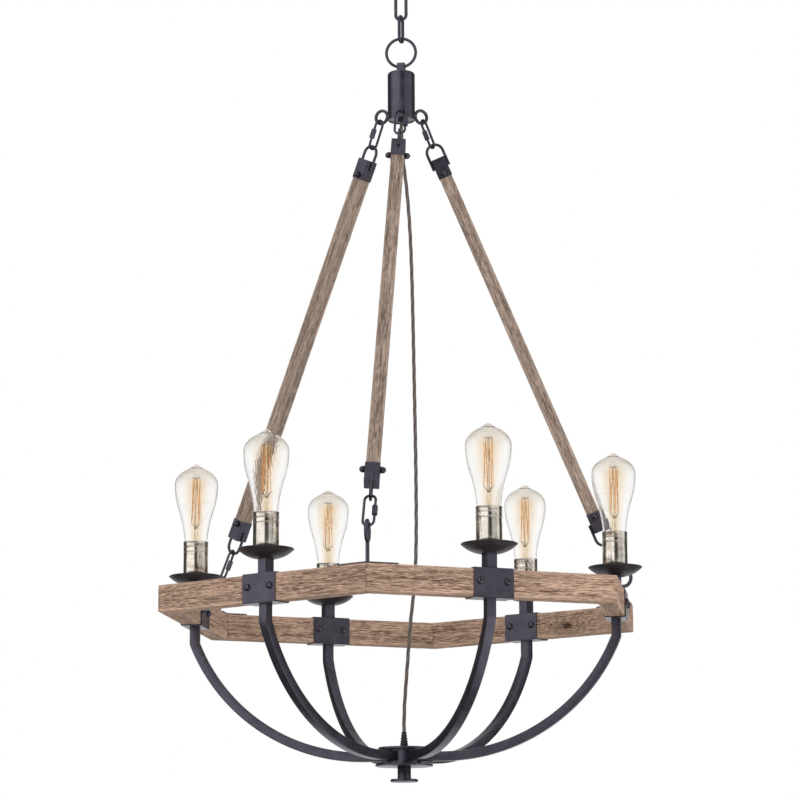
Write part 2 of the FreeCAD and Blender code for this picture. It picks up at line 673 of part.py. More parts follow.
def make_arms():
    top = S.seat_clear + S.sleeve_wall + S.post_height - S.arm_short
    for number, azimuth in enumerate(SIDES, start=1):
        solid = new_body(f"arm_{number}_outside")
        side = new_sketch(solid, f"arm_{number}_side", "XZ_Plane")
        arm_outline(side, 0, top, S.hub_drum_diameter / 4)
        pad(solid, side, S.arm_side, both_ways=True)
        core = new_body(f"arm_{number}_core")
        inside = new_sketch(core, f"arm_{number}_inside", "XZ_Plane")
        arm_outline(inside, S.arm_wall, top + S.arm_side, S.hub_drum_diameter / 8)
        pad(core, inside, S.arm_side - S.arm_wall * 2, both_ways=True)
        drum = cylinder(f"arm_{number}_drum", S.hub_drum_diameter / 2, arm_below * 2,
                        shifted(0, 0, float(arm_below) * -2))
        tube = cut(f"arm_{number}", solid, grouped(f"arm_{number}_tools", core, drum))
        node(tube, f"arm_{number}", on_ring(azimuth, 0, ring_top_z))


# ---------------------------------------------------------------- lights
def dish_centre():
    """Centre of the saucer's rounded side, as radius and height above its foot."""
    span, rise, belly = S.saucer_diameter / 2 - S.saucer_floor, S.saucer_rise, S.saucer_belly
    chord = root(span * span + rise * rise)
    stand = root(belly * belly - chord * chord / 4)
    return S.saucer_floor + span / 2 - rise / chord * stand, rise / 2 + span / chord * stand


def dish_rest(radius):
    """Height over the saucer's floor at which a round foot of this radius rests on its side."""
    centre = dish_centre()
    inside, away = S.saucer_belly - S.saucer_wall, radius - centre[0]
    return centre[1] - root(inside * inside - away * away) - S.saucer_wall + S.seat_clear


def make_saucers():
    belly, wall, edge = S.saucer_belly, S.saucer_wall, S.saucer_diameter / 2
    centre = dish_centre()
    shrink = (belly - wall) / belly
    hole = S.neck_diameter / 2 + S.seat_clear
    inner = centre[0] + root((belly - wall) * (belly - wall) - (centre[1] - wall) * (centre[1] - wall))
    saucer = turning("saucer", [
        (hole, 0), (S.saucer_floor, 0), (edge, S.saucer_rise),
        (centre[0] + (edge - centre[0]) * shrink, centre[1] + (S.saucer_rise - centre[1]) * shrink),
        (inner, wall), (hole, wall)],
        {1: (centre, 1), 3: (centre, -1)})
    copies("saucers", saucer, [on_ring(azimuth, beam_centre_r, saucer_z) for azimuth in SIDES])


# how far a rolled bead stands out, and half its flat crest, as shares of its radius
BEAD_OUT, BEAD_CREST = 0.8, 0.4


def make_sockets():
    outer, high, bead = S.socket_diameter / 2, S.socket_height, S.bead_radius
    inner = outer - S.socket_wall
    upper, lower = high - S.bead_upper, high - S.bead_lower
    lip = high - bead
    rest = dish_rest(outer)
    section = [(inner, rest), (outer, rest)]
    for middle in (lower, upper, lip):
        section += [(outer, middle - bead), (outer + bead * BEAD_OUT, middle - bead * BEAD_CREST),
                    (outer + bead * BEAD_OUT, middle + bead * BEAD_CREST), (outer, middle + bead)]
    section.append((inner, high))
    sleeve = turning("socket_sleeve", section)
    places = [on_ring(azimuth, beam_centre_r, socket_z) for azimuth in SIDES]
    copies("socket_sleeves", sleeve, places)

    neck, body = S.neck_diameter / 2, S.insulator_diameter / 2
    bore = S.shell_bore / 2 + S.shell_wall
    rest = dish_rest(body)
    insulator = turning("insulator", [
        (0, -S.neck_depth), (neck, -S.neck_depth), (neck, rest), (body, rest), (body, S.insulator_height),
        (bore + S.seat_clear, S.insulator_height), (bore + S.seat_clear, S.insulator_floor),
        (0, S.insulator_floor)])
    copies("socket_insulators", insulator, places)
    top = S.insulator_floor + S.shell_height
    shell = turning("screw_shell", [
        (bore - S.shell_wall, S.insulator_floor), (bore, S.insulator_floor), (bore, top),
        (bore - S.shell_wall, top)])
    copies("screw_shells", shell, places)


BELLY_BANDS = 6


def arc_about(centre, radius, first, last):
    """Arc of that radius round the centre, from one point's direction to the other's."""
    start, end = (first - centre).normalize(), (last - centre).normalize()
    middle = (start + end).normalize()
    return Part.Arc(centre + start * radius, centre + middle * radius, centre + end * radius).toShape()


def bands_about(centre, radius, first, last):
    """The same arc in straight bands, which turn into plain cones."""
    curve = arc_about(centre, radius, first, last)
    points = curve.discretize(Number=BELLY_BANDS + 1)
    return [Part.makeLine(start, end) for start, end in zip(points, points[1:])]


def glass_section(foot, mouth_z, tip_z):
    """Half section of the envelope: neck, belly, side and crown are arcs that run into each other, and a
    solid ball of glass seals the top."""
    wide, wall, nub = float(S.bulb_diameter) / 2, float(S.bulb_wall), float(S.bulb_tip)
    neck, belly = float(S.bulb_neck_round), float(S.bulb_belly_round)
    side, crown_high = float(S.bulb_side_round), float(S.bulb_crown)
    widest_z = tip_z - float(S.bulb_shoulder)
    mouth, widest = Vector(float(S.bulb_mouth) / 2, 0, mouth_z), Vector(wide, 0, widest_z)

    # the crown's centre is on the axis, where its arc runs into the side's
    side_centre, belly_centre = Vector(wide - side, 0, widest_z), Vector(wide - belly, 0, widest_z)
    crown = ((wide - side) ** 2 + crown_high ** 2 - side ** 2) / (2 * (crown_high - side))
    crown_centre = Vector(0, 0, widest_z + crown_high - crown)
    shoulder = side_centre * 2 - crown_centre

    # the neck bends the other way, from the belly's arc to the socket's rim
    span = mouth - belly_centre
    centres = belly + neck
    turn = math.acos((span.Length ** 2 + centres ** 2 - neck ** 2) / (2 * span.Length * centres))
    heading = math.atan2(span.z, span.x) + turn
    neck_centre = belly_centre + Vector(math.cos(heading), 0, math.sin(heading)) * centres

    # the ball stands through the crown on a ring
    ball_centre = Vector(0, 0, tip_z - nub)
    rise = (ball_centre - crown_centre).Length
    ring_up = (crown ** 2 - nub ** 2 + rise ** 2) / (2 * rise)
    ring = crown_centre + Vector(math.sqrt(crown ** 2 - ring_up ** 2), 0, ring_up)

    tip, crown_top = Vector(0, 0, tip_z), crown_centre + Vector(0, 0, crown - wall)
    inner_mouth = mouth + (mouth - neck_centre).normalize() * wall
    edges = [
        Part.makeLine(Vector(foot, 0, 0), mouth), arc_about(neck_centre, neck, mouth, belly_centre),
        *bands_about(belly_centre, belly, neck_centre, widest),
        arc_about(side_centre, side, widest, shoulder),
        arc_about(crown_centre, crown, shoulder, ring), arc_about(ball_centre, nub, ring, tip),
        Part.makeLine(tip, crown_top), arc_about(crown_centre, crown - wall, crown_top, shoulder),
        arc_about(side_centre, side - wall, shoulder, widest),
        *bands_about(belly_centre, belly - wall, widest, neck_centre),
        arc_about(neck_centre, neck + wall, belly_centre, mouth),
        Part.makeLine(inner_mouth, Vector(foot - wall, 0, 0)),
        Part.makeLine(Vector(foot - wall, 0, 0), Vector(foot, 0, 0))]
    return Part.Face(Part.Wire(Part.__sortEdges__(edges)))


def make_bulbs():
    base_high, contact = float(S.bulb_base_height), float(S.bulb_contact)
    seat_z = float(S.insulator_floor + S.bulb_seat_gap)
    foot_z = seat_z + contact + base_high
    mouth_z = float(S.socket_height) - foot_z
    section = glass_section(float(S.bulb_base) / 2, mouth_z, mouth_z + float(S.bulb_height))
    glass = section.revolve(Vector(), Z_AXIS, 360)

    for number, azimuth in enumerate(SIDES, start=1):
        envelope = doc.addObject("Part::Feature", f"glass_{number}")
        envelope.Shape = glass
        node(envelope, f"bulb_glass_{number}", on_ring(azimuth, beam_centre_r, socket_z + foot_z))
        screw, button = S.bulb_base / 2, S.bulb_contact
        top = button + S.bulb_base_height
        base = turning(f"base_{number}", [
            (0, 0), (button, 0), (S.bulb_foot_wide / 2, S.bulb_foot_high), (screw, button), (screw, top),
            (S.stem_foot_wide / 2, top), (S.stem_tip_wide / 2, top + S.stem_height),
            (0, top + S.stem_height)])
        node(base, f"bulb_base_{number}", on_ring(azimuth, beam_centre_r, socket_z + seat_z))


# ---------------------------------------------------------------- hub
def make_hub():
    arm_low_z = ring_top_z - float(arm_below + S.arm_side / 2)
    hub_foot_z = arm_low_z - float(S.hub_below + S.hub_bottom_thick)
    gap = S.hub_below + S.arm_side + S.hub_above
    drum, wide, narrow = S.hub_drum_diameter / 2, S.hub_bottom_diameter / 2, S.hub_top_diameter / 2
    low = S.hub_bottom_thick
    high = low + gap
    top = high + S.hub_top_thick
    spool = turning("hub_spool", [(0, 0), (wide, 0), (wide, low), (drum, low), (drum, high),
                                  (narrow, high), (narrow, top), (0, top)])
    node(spool, "hub_spool", shifted(0, 0, hub_foot_z))

    stem, flange = S.finial_stem / 2, S.finial_flange / 2
    fall = S.finial_drop
    finial = turning("finial", [(0, -fall - S.finial_thick), (flange, -fall - S.finial_thick),
                                (flange, -fall), (stem, -fall), (stem, 0), (0, 0)])
    node(finial, "finial", shifted(0, 0, hub_foot_z))

    ribs = 5
    pitch = S.grip_height / (2 * ribs + 1)
    points = [(0, 0)]
    for step in range(2 * ribs + 1):
        taper = S.grip_base / 2 - (S.grip_base - S.grip_tip) / 2 * (step / (2 * ribs))
        radius = taper if step % 2 == 0 else taper - S.grip_groove
        points += [(radius, pitch * step), (radius, pitch * (step + 1))]
    points.append((0, S.grip_height))
    grip = turning("cord_grip", points)
    node(grip, "cord_grip", shifted(0, 0, hub_foot_z + float(top)))
    return hub_foot_z + float(top + S.grip_height)


# ---------------------------------------------------------------- cord
# sideways bow of the free cord and how far down it runs, from the canister's collar to the grip
CORD_ROUTE = [
    (0.0, 0.0, 0.047), (7.3, 0.4, 0.106), (12.4, 1.1, 0.178), (15.0, 1.6, 0.262), (16.4, 1.9, 0.350),
    (17.5, 2.4, 0.438), (18.8, 2.5, 0.528), (19.6, 2.7, 0.618), (19.3, 2.6, 0.704), (16.6, 2.2, 0.768),
    (10.6, 1.4, 0.820), (6.9, 0.9, 0.872), (3.0, 0.4, 0.925), (0.0, 0.0, 0.970),
]
# share of the shorter neighbouring stretch that each bend of the cord takes up
BEND_SHARE = 0.45


def make_cord(top_z, foot_z):
    drop = top_z - foot_z
    route = [Vector(0, 0, top_z)]
    route += [Vector(x, y, top_z - share * drop) for x, y, share in CORD_ROUTE]
    route.append(Vector(0, 0, foot_z))
    edges = []
    before = route[0]
    for last, corner, after in zip(route, route[1:], route[2:]):
        back, ahead = last - corner, after - corner
        half_turn = (math.pi - back.getAngle(ahead)) / 2
        tangent = BEND_SHARE * min(back.Length, ahead.Length)
        bend = tangent / math.tan(half_turn)
        back.normalize()
        ahead.normalize()
        first, final = corner + back * tangent, corner + ahead * tangent
        inward = back + ahead
        inward.normalize()
        middle = corner + inward * (math.hypot(bend, tangent) - bend)
        edges.append(Part.LineSegment(before, first).toShape())
        edges.append(Part.Arc(first, middle, final).toShape())
        before = final
    edges.append(Part.LineSegment(before, route[-1]).toShape())
    path = Part.Wire(edges)
    radius = float(S.cord_diameter) / 2
    ring = Part.Wire(Part.makeCircle(radius, route[0], route[1] - route[0]))
    tube = path.makePipeShell([ring], True, False)
    print("cord length", round(path.Length, 1))
    print("cord volume ratio", round(tube.Volume / (math.pi * radius ** 2 * path.Length), 5))
    cord = doc.addObject("Part::Feature", "cord")
    cord.Shape = tube
    node(cord, "cord")


# ---------------------------------------------------------------- build and write
make_chain()
make_canister()
make_hangers()
make_ring()
make_arms()
make_saucers()
make_sockets()
make_bulbs()
grip_top_z = make_hub()
make_cord(can_foot_z + float(S.base_recess - S.collar_height), grip_top_z)
doc.recompute()

for thing in doc.Objects:
    if "Invalid" in thing.State or "Error" in thing.State:
        raise RuntimeError(f"{thing.Name} failed: {thing.State}")
for thing in NODES:
    if thing.Shape.isNull() or not thing.Shape.isValid():
        raise RuntimeError(f"{thing.Label} has no valid shape")

os.makedirs("parts", exist_ok=True)
for thing in NODES:
    thing.Shape.exportStep(f"parts/{thing.Label}.step")
print(len(NODES), "sub-parts", sum(len(thing.Shape.Solids) for thing in NODES), "solids")
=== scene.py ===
import math

import bmesh
import bpy
from mathutils import Matrix, Vector, noise


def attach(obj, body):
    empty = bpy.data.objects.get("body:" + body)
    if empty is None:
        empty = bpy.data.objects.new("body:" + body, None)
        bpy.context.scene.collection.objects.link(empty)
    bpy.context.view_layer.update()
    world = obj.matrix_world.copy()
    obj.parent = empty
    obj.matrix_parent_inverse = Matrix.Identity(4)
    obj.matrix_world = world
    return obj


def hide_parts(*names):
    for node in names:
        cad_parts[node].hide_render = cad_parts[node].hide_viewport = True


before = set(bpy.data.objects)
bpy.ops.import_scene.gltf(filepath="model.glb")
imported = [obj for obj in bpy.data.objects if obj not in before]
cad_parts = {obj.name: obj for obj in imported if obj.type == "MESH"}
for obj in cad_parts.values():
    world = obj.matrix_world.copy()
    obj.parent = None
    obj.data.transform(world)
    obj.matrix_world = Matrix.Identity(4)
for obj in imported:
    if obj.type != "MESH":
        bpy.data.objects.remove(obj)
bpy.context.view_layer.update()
MM = 0.001

# ------------------------------------------------------------------ the room it is seen in
# A plain studio: white backdrop, pale floor well below the fixture, soft lamps at either side.
# The viewer stands low and a little to the right, looking slightly up.
CAMERA_PLACE = (0.5736, -4.2326, -1.4663)
CAMERA_HEADING, CAMERA_PITCH, CAMERA_ROLL = 7.770, 10.983, -0.243
CAMERA_LENS, CAMERA_REACH = 129.9, 50.0
FLOOR_Z, FLOOR_HALF, FLOOR_LIFT = -2.05, 8.0, 0.56
WORLD_LEVEL = 0.47
# what gloss sees round the horizon, as turns from the viewer's side (0 and 1) by the right (0.25) and the
# backdrop (0.5): two soft boxes to the right, a wide one to the left, black flags between them
STUDIO_RAMP = [(0.0, 0.06), (0.055, 0.06), (0.08, 0.50), (0.165, 0.50), (0.185, 0.30), (0.205, 0.75),
               (0.262, 0.75), (0.284, 0.06), (0.42, 0.06), (0.455, 1.0), (0.545, 1.0), (0.59, 0.06),
               (0.735, 0.06), (0.765, 1.0), (0.962, 1.0), (0.984, 0.06)]
# and on the floor below: white to the right in front, in shade elsewhere
FLOOR_RAMP = [(0.0, 0.40), (0.06, 1.0), (0.27, 1.0), (0.33, 0.10), (0.40, 0.10), (0.45, 1.0),
              (0.55, 1.0), (0.60, 0.10), (0.70, 0.10), (0.76, 0.20), (0.93, 0.20), (0.98, 0.35)]


def turned(axis, degrees):
    return Matrix.Rotation(math.radians(degrees), 4, axis)


def linked(name, data):
    """An object made of that data, in the scene."""
    made = bpy.data.objects.new(name, data)
    bpy.context.scene.collection.objects.link(made)
    return made


def build_camera():
    data = bpy.data.cameras.new("camera")
    data.lens = CAMERA_LENS
    data.clip_end = CAMERA_REACH
    camera = linked("camera", data)
    tilt = turned("X", 90 + CAMERA_PITCH)
    camera.matrix_world = (Matrix.Translation(CAMERA_PLACE) @ turned("Z", CAMERA_HEADING) @ tilt
                           @ turned("Z", CAMERA_ROLL))
    bpy.context.scene.camera = camera
    bpy.context.scene.view_settings.view_transform = "Standard"


def shader_tree(owner):
    """The node tree of a material or of the world, emptied."""
    owner.use_nodes = True
    owner.node_tree.nodes.clear()
    return owner.node_tree


def add(tree, kind, inputs=None, **settings):
    """A node of that kind. inputs maps a socket to a value, or to another node's output."""
    made = tree.nodes.new(kind)
    for key, value in settings.items():
        setattr(made, key, value)
    for key, value in (inputs or {}).items():
        if isinstance(value, bpy.types.NodeSocket):
            tree.links.new(value, made.inputs[key])
        else:
            made.inputs[key].default_value = value
    return made


def maths(tree, operation, first, second=0.0, clamp=False):
    return add(tree, "ShaderNodeMath", {0: first, 1: second}, operation=operation, use_clamp=clamp).outputs[0]


def spread(tree, value, low, high, start=0.0, end=1.0, kind="LINEAR"):
    """What lies between low and high in a value, laid out from start to end."""
    return add(tree, "ShaderNodeMapRange", {0: value, 1: low, 2: high, 3: start, 4: end},
               interpolation_type=kind).outputs[0]


def ramped(tree, value, stops):
    """A colour, or a grey level, from stops of value and colour."""
    node = add(tree, "ShaderNodeValToRGB", {0: value})
    ramp = node.color_ramp.elements
    for number, (at, color) in enumerate(stops):
        stop = ramp[number] if number < 2 else ramp.new(at)
        stop.position = at
        stop.color = (*color, 1) if isinstance(color, tuple) else (color, color, color, 1)
    return node.outputs[0]


def surface(name, looks=None, **plain):
    """A material. looks makes what changes over it, and the rest is set on the shader's own sockets."""
    material = bpy.data.materials.new(name)
    tree = shader_tree(material)
    sockets = looks(tree) if looks else {}
    sockets.update({key.replace("_", " "): value for key, value in plain.items()})
    shader = add(tree, "ShaderNodeBsdfPrincipled", sockets)
    add(tree, "ShaderNodeOutputMaterial", {0: shader.outputs[0]})
    return material


def build_world():
    world = bpy.data.worlds.new("studio")
    bpy.context.scene.world = world
    tree = shader_tree(world)
    ray = add(tree, "ShaderNodeLightPath").outputs
    place = add(tree, "ShaderNodeTexCoord")
    axes = add(tree, "ShaderNodeSeparateXYZ", {0: place.outputs["Generated"]}).outputs
    turn = maths(tree, "ARCTAN2", axes["X"], maths(tree, "MULTIPLY", axes["Y"], -1.0))
    turn = maths(tree, "SUBTRACT", maths(tree, "DIVIDE", turn, 2 * math.pi), CAMERA_HEADING / 360)
    turn = maths(tree, "FRACT", maths(tree, "ADD", turn, 1.0))
    # straight up is the plain white room, and straight down the fixture's own shade
    steep = spread(tree, axes["Z"], 0.75, 0.95, 0.0, 0.6)
    under = spread(tree, axes["Z"], -0.96, -0.75, 0.30, 1.0)
    below = spread(tree, axes["Z"], -0.36, -0.16, 1.0, 0.0)
    boxes = maths(tree, "MAXIMUM", ramped(tree, turn, STUDIO_RAMP), steep)
    ground = maths(tree, "MULTIPLY", ramped(tree, turn, FLOOR_RAMP), under)
    sides = add(tree, "ShaderNodeMix", {0: below, 2: boxes, 3: ground}).outputs[0]
    open_view = maths(tree, "MAXIMUM", ray["Is Camera Ray"], ray["Is Transmission Ray"])
    shown = maths(tree, "MAXIMUM", open_view, maths(tree, "MULTIPLY", ray["Is Glossy Ray"], sides))
    seen = maths(tree, "MAXIMUM", open_view, ray["Is Glossy Ray"])
    unseen = maths(tree, "MULTIPLY", maths(tree, "SUBTRACT", 1.0, seen), WORLD_LEVEL)
    level = maths(tree, "ADD", shown, unseen)
    light = add(tree, "ShaderNodeBackground", {"Color": (1, 1, 1, 1), "Strength": level})
    add(tree, "ShaderNodeOutputWorld", {0: light.outputs[0]})


def lifted_white(tree):
    """Seen straight or through glass the floor is lifted to the backdrop's white, and keeps its shadows."""
    ray = add(tree, "ShaderNodeLightPath").outputs
    lift = maths(tree, "MAXIMUM", ray["Is Camera Ray"], ray["Is Transmission Ray"])
    return {"Emission Strength": maths(tree, "MULTIPLY", lift, FLOOR_LIFT)}


def build_floor():
    mesh = bpy.data.meshes.new("floor")
    corners = ((-1, -1), (1, -1), (1, 1), (-1, 1))
    mesh.from_pydata([(x * FLOOR_HALF, y * FLOOR_HALF, FLOOR_Z) for x, y in corners], [], [(0, 1, 2, 3)])
    mesh.materials.append(surface("pale_floor", lifted_white, Base_Color=(0.86, 0.86, 0.85, 1), Roughness=0.8,
                                  Specular_IOR_Level=0.0, Emission_Color=(1, 1, 1, 1)))
    floor = linked("floor", mesh)
    floor.visible_glossy = False


def build_lamp(name, place, target, size, watts):
    data = bpy.data.lights.new(name, "AREA")
    data.shape = "RECTANGLE"
    data.size, data.size_y = size
    data.energy = watts
    lamp = linked(name, data)
    lamp.location = place
    lamp.rotation_euler = (Vector(target) - Vector(place)).to_track_quat("-Z", "Y").to_euler()
    # gloss sees the soft boxes that are drawn in the world instead
    lamp.visible_camera = False
    lamp.visible_glossy = False
    lamp.visible_transmission = False


build_camera()
build_world()
build_floor()
build_lamp("lamp_right", (1.7, -1.0, -0.35), (0.1, -0.1, -0.75), (0.9, 1.5), 17)
build_lamp("lamp_left", (-1.9, -1.1, -0.35), (-0.1, -0.1, -0.75), (0.9, 1.5), 15.5)
build_lamp("lamp_below", (0.3, -2.4, -1.95), (0, 0, -0.9), (2.0, 1.0), 5)


# ------------------------------------------------------------------ cord
# The lamp flex: three thin wires in a woven taupe sleeve, twisted so that a slow spiral shows, with painted
# shade in its grooves and painted highlight on its ridges. It leaves the canister's foot, hangs slack behind
# the front bar and goes into the grip on the hub.
CORD_DROP, CORD_FOOT = -202.9, -1136.4
CORD_THICK, CORD_LONG = 5.6, 0.935
CORD_TWIST, CORD_LOBES, CORD_AROUND = 26.0, 3, 21
YARNS_AROUND, YARNS_ALONG = 16.0, 0.9
# out from the middle line in x and y, in millimetres, and the share of the drop
CORD_ROUTE = [
    (0.0, 0.0, 0.0), (0.0, 0.0, 0.047), (7.3, 0.4, 0.106), (12.4, 1.1, 0.178), (15.0, 1.6, 0.262),
    (16.4, 1.9, 0.350), (17.5, 2.4, 0.438), (18.8, 2.5, 0.528), (19.6, 2.7, 0.618), (19.3, 2.6, 0.704),
    (16.6, 2.2, 0.768), (10.6, 1.4, 0.820), (6.9, 0.9, 0.872), (3.0, 0.4, 0.925), (0.0, 0.0, 0.970),
    (0.0, 0.0, 1.0)]


def cord_line():
    """Points along the flex, read from a smooth spline through its route, in metres."""
    curve = bpy.data.curves.new("cord_line", "CURVE")
    curve.dimensions = "3D"
    curve.resolution_u = 24
    spline = curve.splines.new("NURBS")
    spline.points.add(len(CORD_ROUTE) - 1)
    for point, (x, y, share) in zip(spline.points, CORD_ROUTE):
        z = CORD_DROP + share * (CORD_FOOT - CORD_DROP)
        point.co = (x * MM, y * MM, z * MM, 1.0)
    spline.order_u = 3
    spline.use_endpoint_u = True
    holder = linked("cord_line", curve)
    bpy.context.view_layer.update()
    mesh = bpy.data.meshes.new_from_object(holder)
    bpy.data.objects.remove(holder)
    return [vertex.co.copy() for vertex in mesh.vertices]


def rings_along(solid, line, around, reach_at, across=(1, 0, 0), closed=False):
    """A ring of corners round each point of a line, and how far along it each one is. reach_at gives
    their radius from the turn and from how far along they are."""
    rings, runs, run = [], [], 0.0
    across = Vector(across).normalized()
    for number, point in enumerate(line):
        before = line[number - 1] if number or closed else point
        after = line[(number + 1) % len(line)] if closed or number + 1 < len(line) else point
        along = (after - before).normalized()
        across = (across - along * across.dot(along)).normalized()
        side = along.cross(across)
        run += (point - before).length if number else 0.0
        ring = []
        for step in range(around):
            turn = 2 * math.pi * step / around
            out = across * math.cos(turn) + side * math.sin(turn)
            ring.append(solid.verts.new(point + out * reach_at(turn, run)))
        rings.append(ring)
        runs.append(run)
    return rings, runs


def bridged(solid, rings, closed=False, capped=False):
    """Faces from each ring of corners to the next. A ring of one corner is a point on the axis."""
    for first, second in zip(rings, rings[1:] + (rings[:1] if closed else [])):
        count = max(len(first), len(second))
        for step in range(count):
            after = (step + 1) % count
            corners = (first[step % len(first)], first[after % len(first)],
                       second[after % len(second)], second[step % len(second)])
            corners = list(dict.fromkeys(corners))
            if len(corners) > 2:
                solid.faces.new(corners)
    if capped:
        solid.faces.new(rings[0][::-1])
        solid.faces.new(rings[-1])


def as_mesh(solid):
    mesh = bpy.data.meshes.new("piece")
    solid.to_mesh(mesh)
    solid.free()
    return mesh


def twisted_sleeve(line):
    """A lobed tube that turns as it runs along the line, with its own map of length and turn."""
    solid = bmesh.new()
    lay = solid.loops.layers.uv.new("lay")

    def lobed(turn, run):
        lobe = math.cos(CORD_LOBES * turn - 2 * math.pi * run / (CORD_TWIST * MM))
        return CORD_THICK / 2 * MM * (0.95 + 0.05 * lobe)

    rings, runs = rings_along(solid, line, CORD_AROUND, lobed)
    bridged(solid, rings)
    for index, face in enumerate(solid.faces):
        ring, step = divmod(index, CORD_AROUND)
        corners = ((ring, step), (ring, step + 1), (ring + 1, step + 1), (ring + 1, step))
        for loop, (at, turn) in zip(face.loops, corners):
            loop[lay].uv = (runs[at] / MM, turn / CORD_AROUND)
        face.smooth = True
    solid.faces.new(rings[0][::-1])
    solid.faces.new(rings[-1])
    bmesh.ops.recalc_face_normals(solid, faces=solid.faces)
    return as_mesh(solid)


def woven_flex(tree):
    """Two sets of fine yarns that cross as they spiral round the flex, over its slow twist, whose grooves are
    painted in shade and whose ridges are painted lighter as highlight.
    """
    lay = add(tree, "ShaderNodeUVMap", uv_map="lay")
    run, round_it = add(tree, "ShaderNodeSeparateXYZ", {0: lay.outputs[0]}).outputs[:2]

    def wave(kind, turns):
        return maths(tree, kind, maths(tree, "MULTIPLY", turns, 2 * math.pi))

    def halved(value):
        return maths(tree, "ADD", maths(tree, "MULTIPLY", value, 0.5), 0.5, clamp=True)

    around = maths(tree, "MULTIPLY", round_it, YARNS_AROUND)
    along = maths(tree, "MULTIPLY", run, YARNS_ALONG)
    right = wave("SINE", maths(tree, "ADD", around, along))
    left = wave("SINE", maths(tree, "SUBTRACT", around, along))
    weave = halved(maths(tree, "MULTIPLY", right, left))
    # painted shade in the grooves between the twist's lobes and painted highlight on their ridges, in step
    # with the lobed shape
    spiral = maths(tree, "SUBTRACT", maths(tree, "MULTIPLY", round_it, float(CORD_LOBES)),
                   maths(tree, "DIVIDE", run, CORD_TWIST))
    groove = halved(wave("COSINE", spiral))
    tone = maths(tree, "ADD", maths(tree, "MULTIPLY", weave, 0.45), maths(tree, "MULTIPLY", groove, 0.55))
    color = ramped(tree, tone, [(0.0, (0.045, 0.035, 0.033)), (1.0, (0.27, 0.225, 0.20))])
    bump = add(tree, "ShaderNodeBump", {"Height": weave, "Strength": 0.5, "Distance": 0.0004})
    return {"Base Color": color, "Normal": bump.outputs[0]}


line = cord_line()
cord = linked("lamp_flex", twisted_sleeve(line))
cord.data.materials.append(surface("woven_flex", woven_flex, Roughness=0.8, Sheen_Weight=0.15))
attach(cord, "ring_frame")
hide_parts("cord")


# ------------------------------------------------------------------ chain, loop and quick links
# Round steel wire bent into obround links and a ring, closed by a butt weld, and powder coated in a
# blackened bronze that stays a little uneven.
LINK_WIRE, LINK_LONG, LINK_WIDE, LINK_TURN = 5.0, 46.0, 21.0, 78.0
LOOP_WIRE, LOOP_OUTER, LOOP_Z = 4.6, 50.0, -91.8
LOWER_LINK_Z = -71.7


def shifted(x, y=0.0, z=0.0):
    return Matrix.Translation((x, y, z))


def placed(mesh, place):
    mesh.transform(place)
    return mesh


def arc(centre, radius, first, last, steps):
    """Points along an arc, with angles in degrees."""
    angles = [math.radians(first + (last - first) * step / steps) for step in range(steps + 1)]
    return [(centre[0] + radius * math.cos(angle), centre[1] + radius * math.sin(angle)) for angle in angles]


def shaded(solid, sharp=32.0):
    """A mesh from a bmesh, closed up, turned the right way out and smooth between its sharp edges."""
    bmesh.ops.remove_doubles(solid, verts=solid.verts, dist=1e-4)
    bmesh.ops.recalc_face_normals(solid, faces=solid.faces)
    for face in solid.faces:
        face.smooth = True
    for edge in solid.edges:
        if edge.is_manifold and edge.calc_face_angle(0.0) > math.radians(sharp):
            edge.smooth = False
    return as_mesh(solid)


def joined(meshes):
    """One mesh from several, each given alone or with its place."""
    solid = bmesh.new()
    for entry in meshes:
        mesh, place = entry if isinstance(entry, tuple) else (entry, Matrix.Identity(4))
        copy = placed(mesh.copy(), place)
        solid.from_mesh(copy)
        bpy.data.meshes.remove(copy)
    return as_mesh(solid)


def finished(name, mesh, material, body, stands_for=()):
    """A piece in its place, riding on its body. Its mesh is in millimetres until here."""
    mesh.transform(Matrix.Scale(MM, 4))
    mesh.name = name
    mesh.materials.clear()
    mesh.materials.append(material)
    piece = linked(name, mesh)
    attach(piece, body)
    if stands_for:
        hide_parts(*stands_for)


def steel_piece(name, mesh, body, stands_for):
    """A finished piece in the frame's blackened metal."""
    finished(name, mesh, black_metal, body, [stands_for])


def node_group(name, kind, inputs, outputs):
    """A node tree with inputs and outputs, each named with its kind, and the nodes' ends to join to."""
    tree = bpy.data.node_groups.new(name, kind)
    for way, sockets in (("INPUT", inputs), ("OUTPUT", outputs)):
        for label, socket in sockets.items():
            tree.interface.new_socket(label, in_out=way, socket_type="NodeSocket" + socket)
    return tree, tree.nodes.new("NodeGroupInput").outputs, tree.nodes.new("NodeGroupOutput").inputs


def finish_group(name, inputs):
    """A shader group that gives a finish: its colour, its roughness and a height to feed a bump."""
    outputs = {"Color": "Color", "Roughness": "Float", "Height": "Float"}
    return node_group(name, "ShaderNodeTree", inputs, outputs)


def finish(group, strength, distance, **values):
    """The looks of a finish group with those values."""
    def looks(tree):
        made = add(tree, "ShaderNodeGroup", values, node_tree=group).outputs
        bump = add(tree, "ShaderNodeBump", {"Height": made["Height"], "Strength": strength,
                                            "Distance": distance})
        return {"Base Color": made["Color"], "Roughness": made["Roughness"], "Normal": bump.outputs[0]}
    return looks


def mottle(tree, where, scale, detail, rough=0.5):
    return add(tree, "ShaderNodeTexNoise", {"Vector": where, "Scale": scale, "Detail": detail,
                                            "Roughness": rough}).outputs[0]


def blend(tree, share, first, second, kind="MIX"):
    return add(tree, "ShaderNodeMix", {0: share, 6: first, 7: second}, data_type="RGBA",
               blend_type=kind).outputs[2]


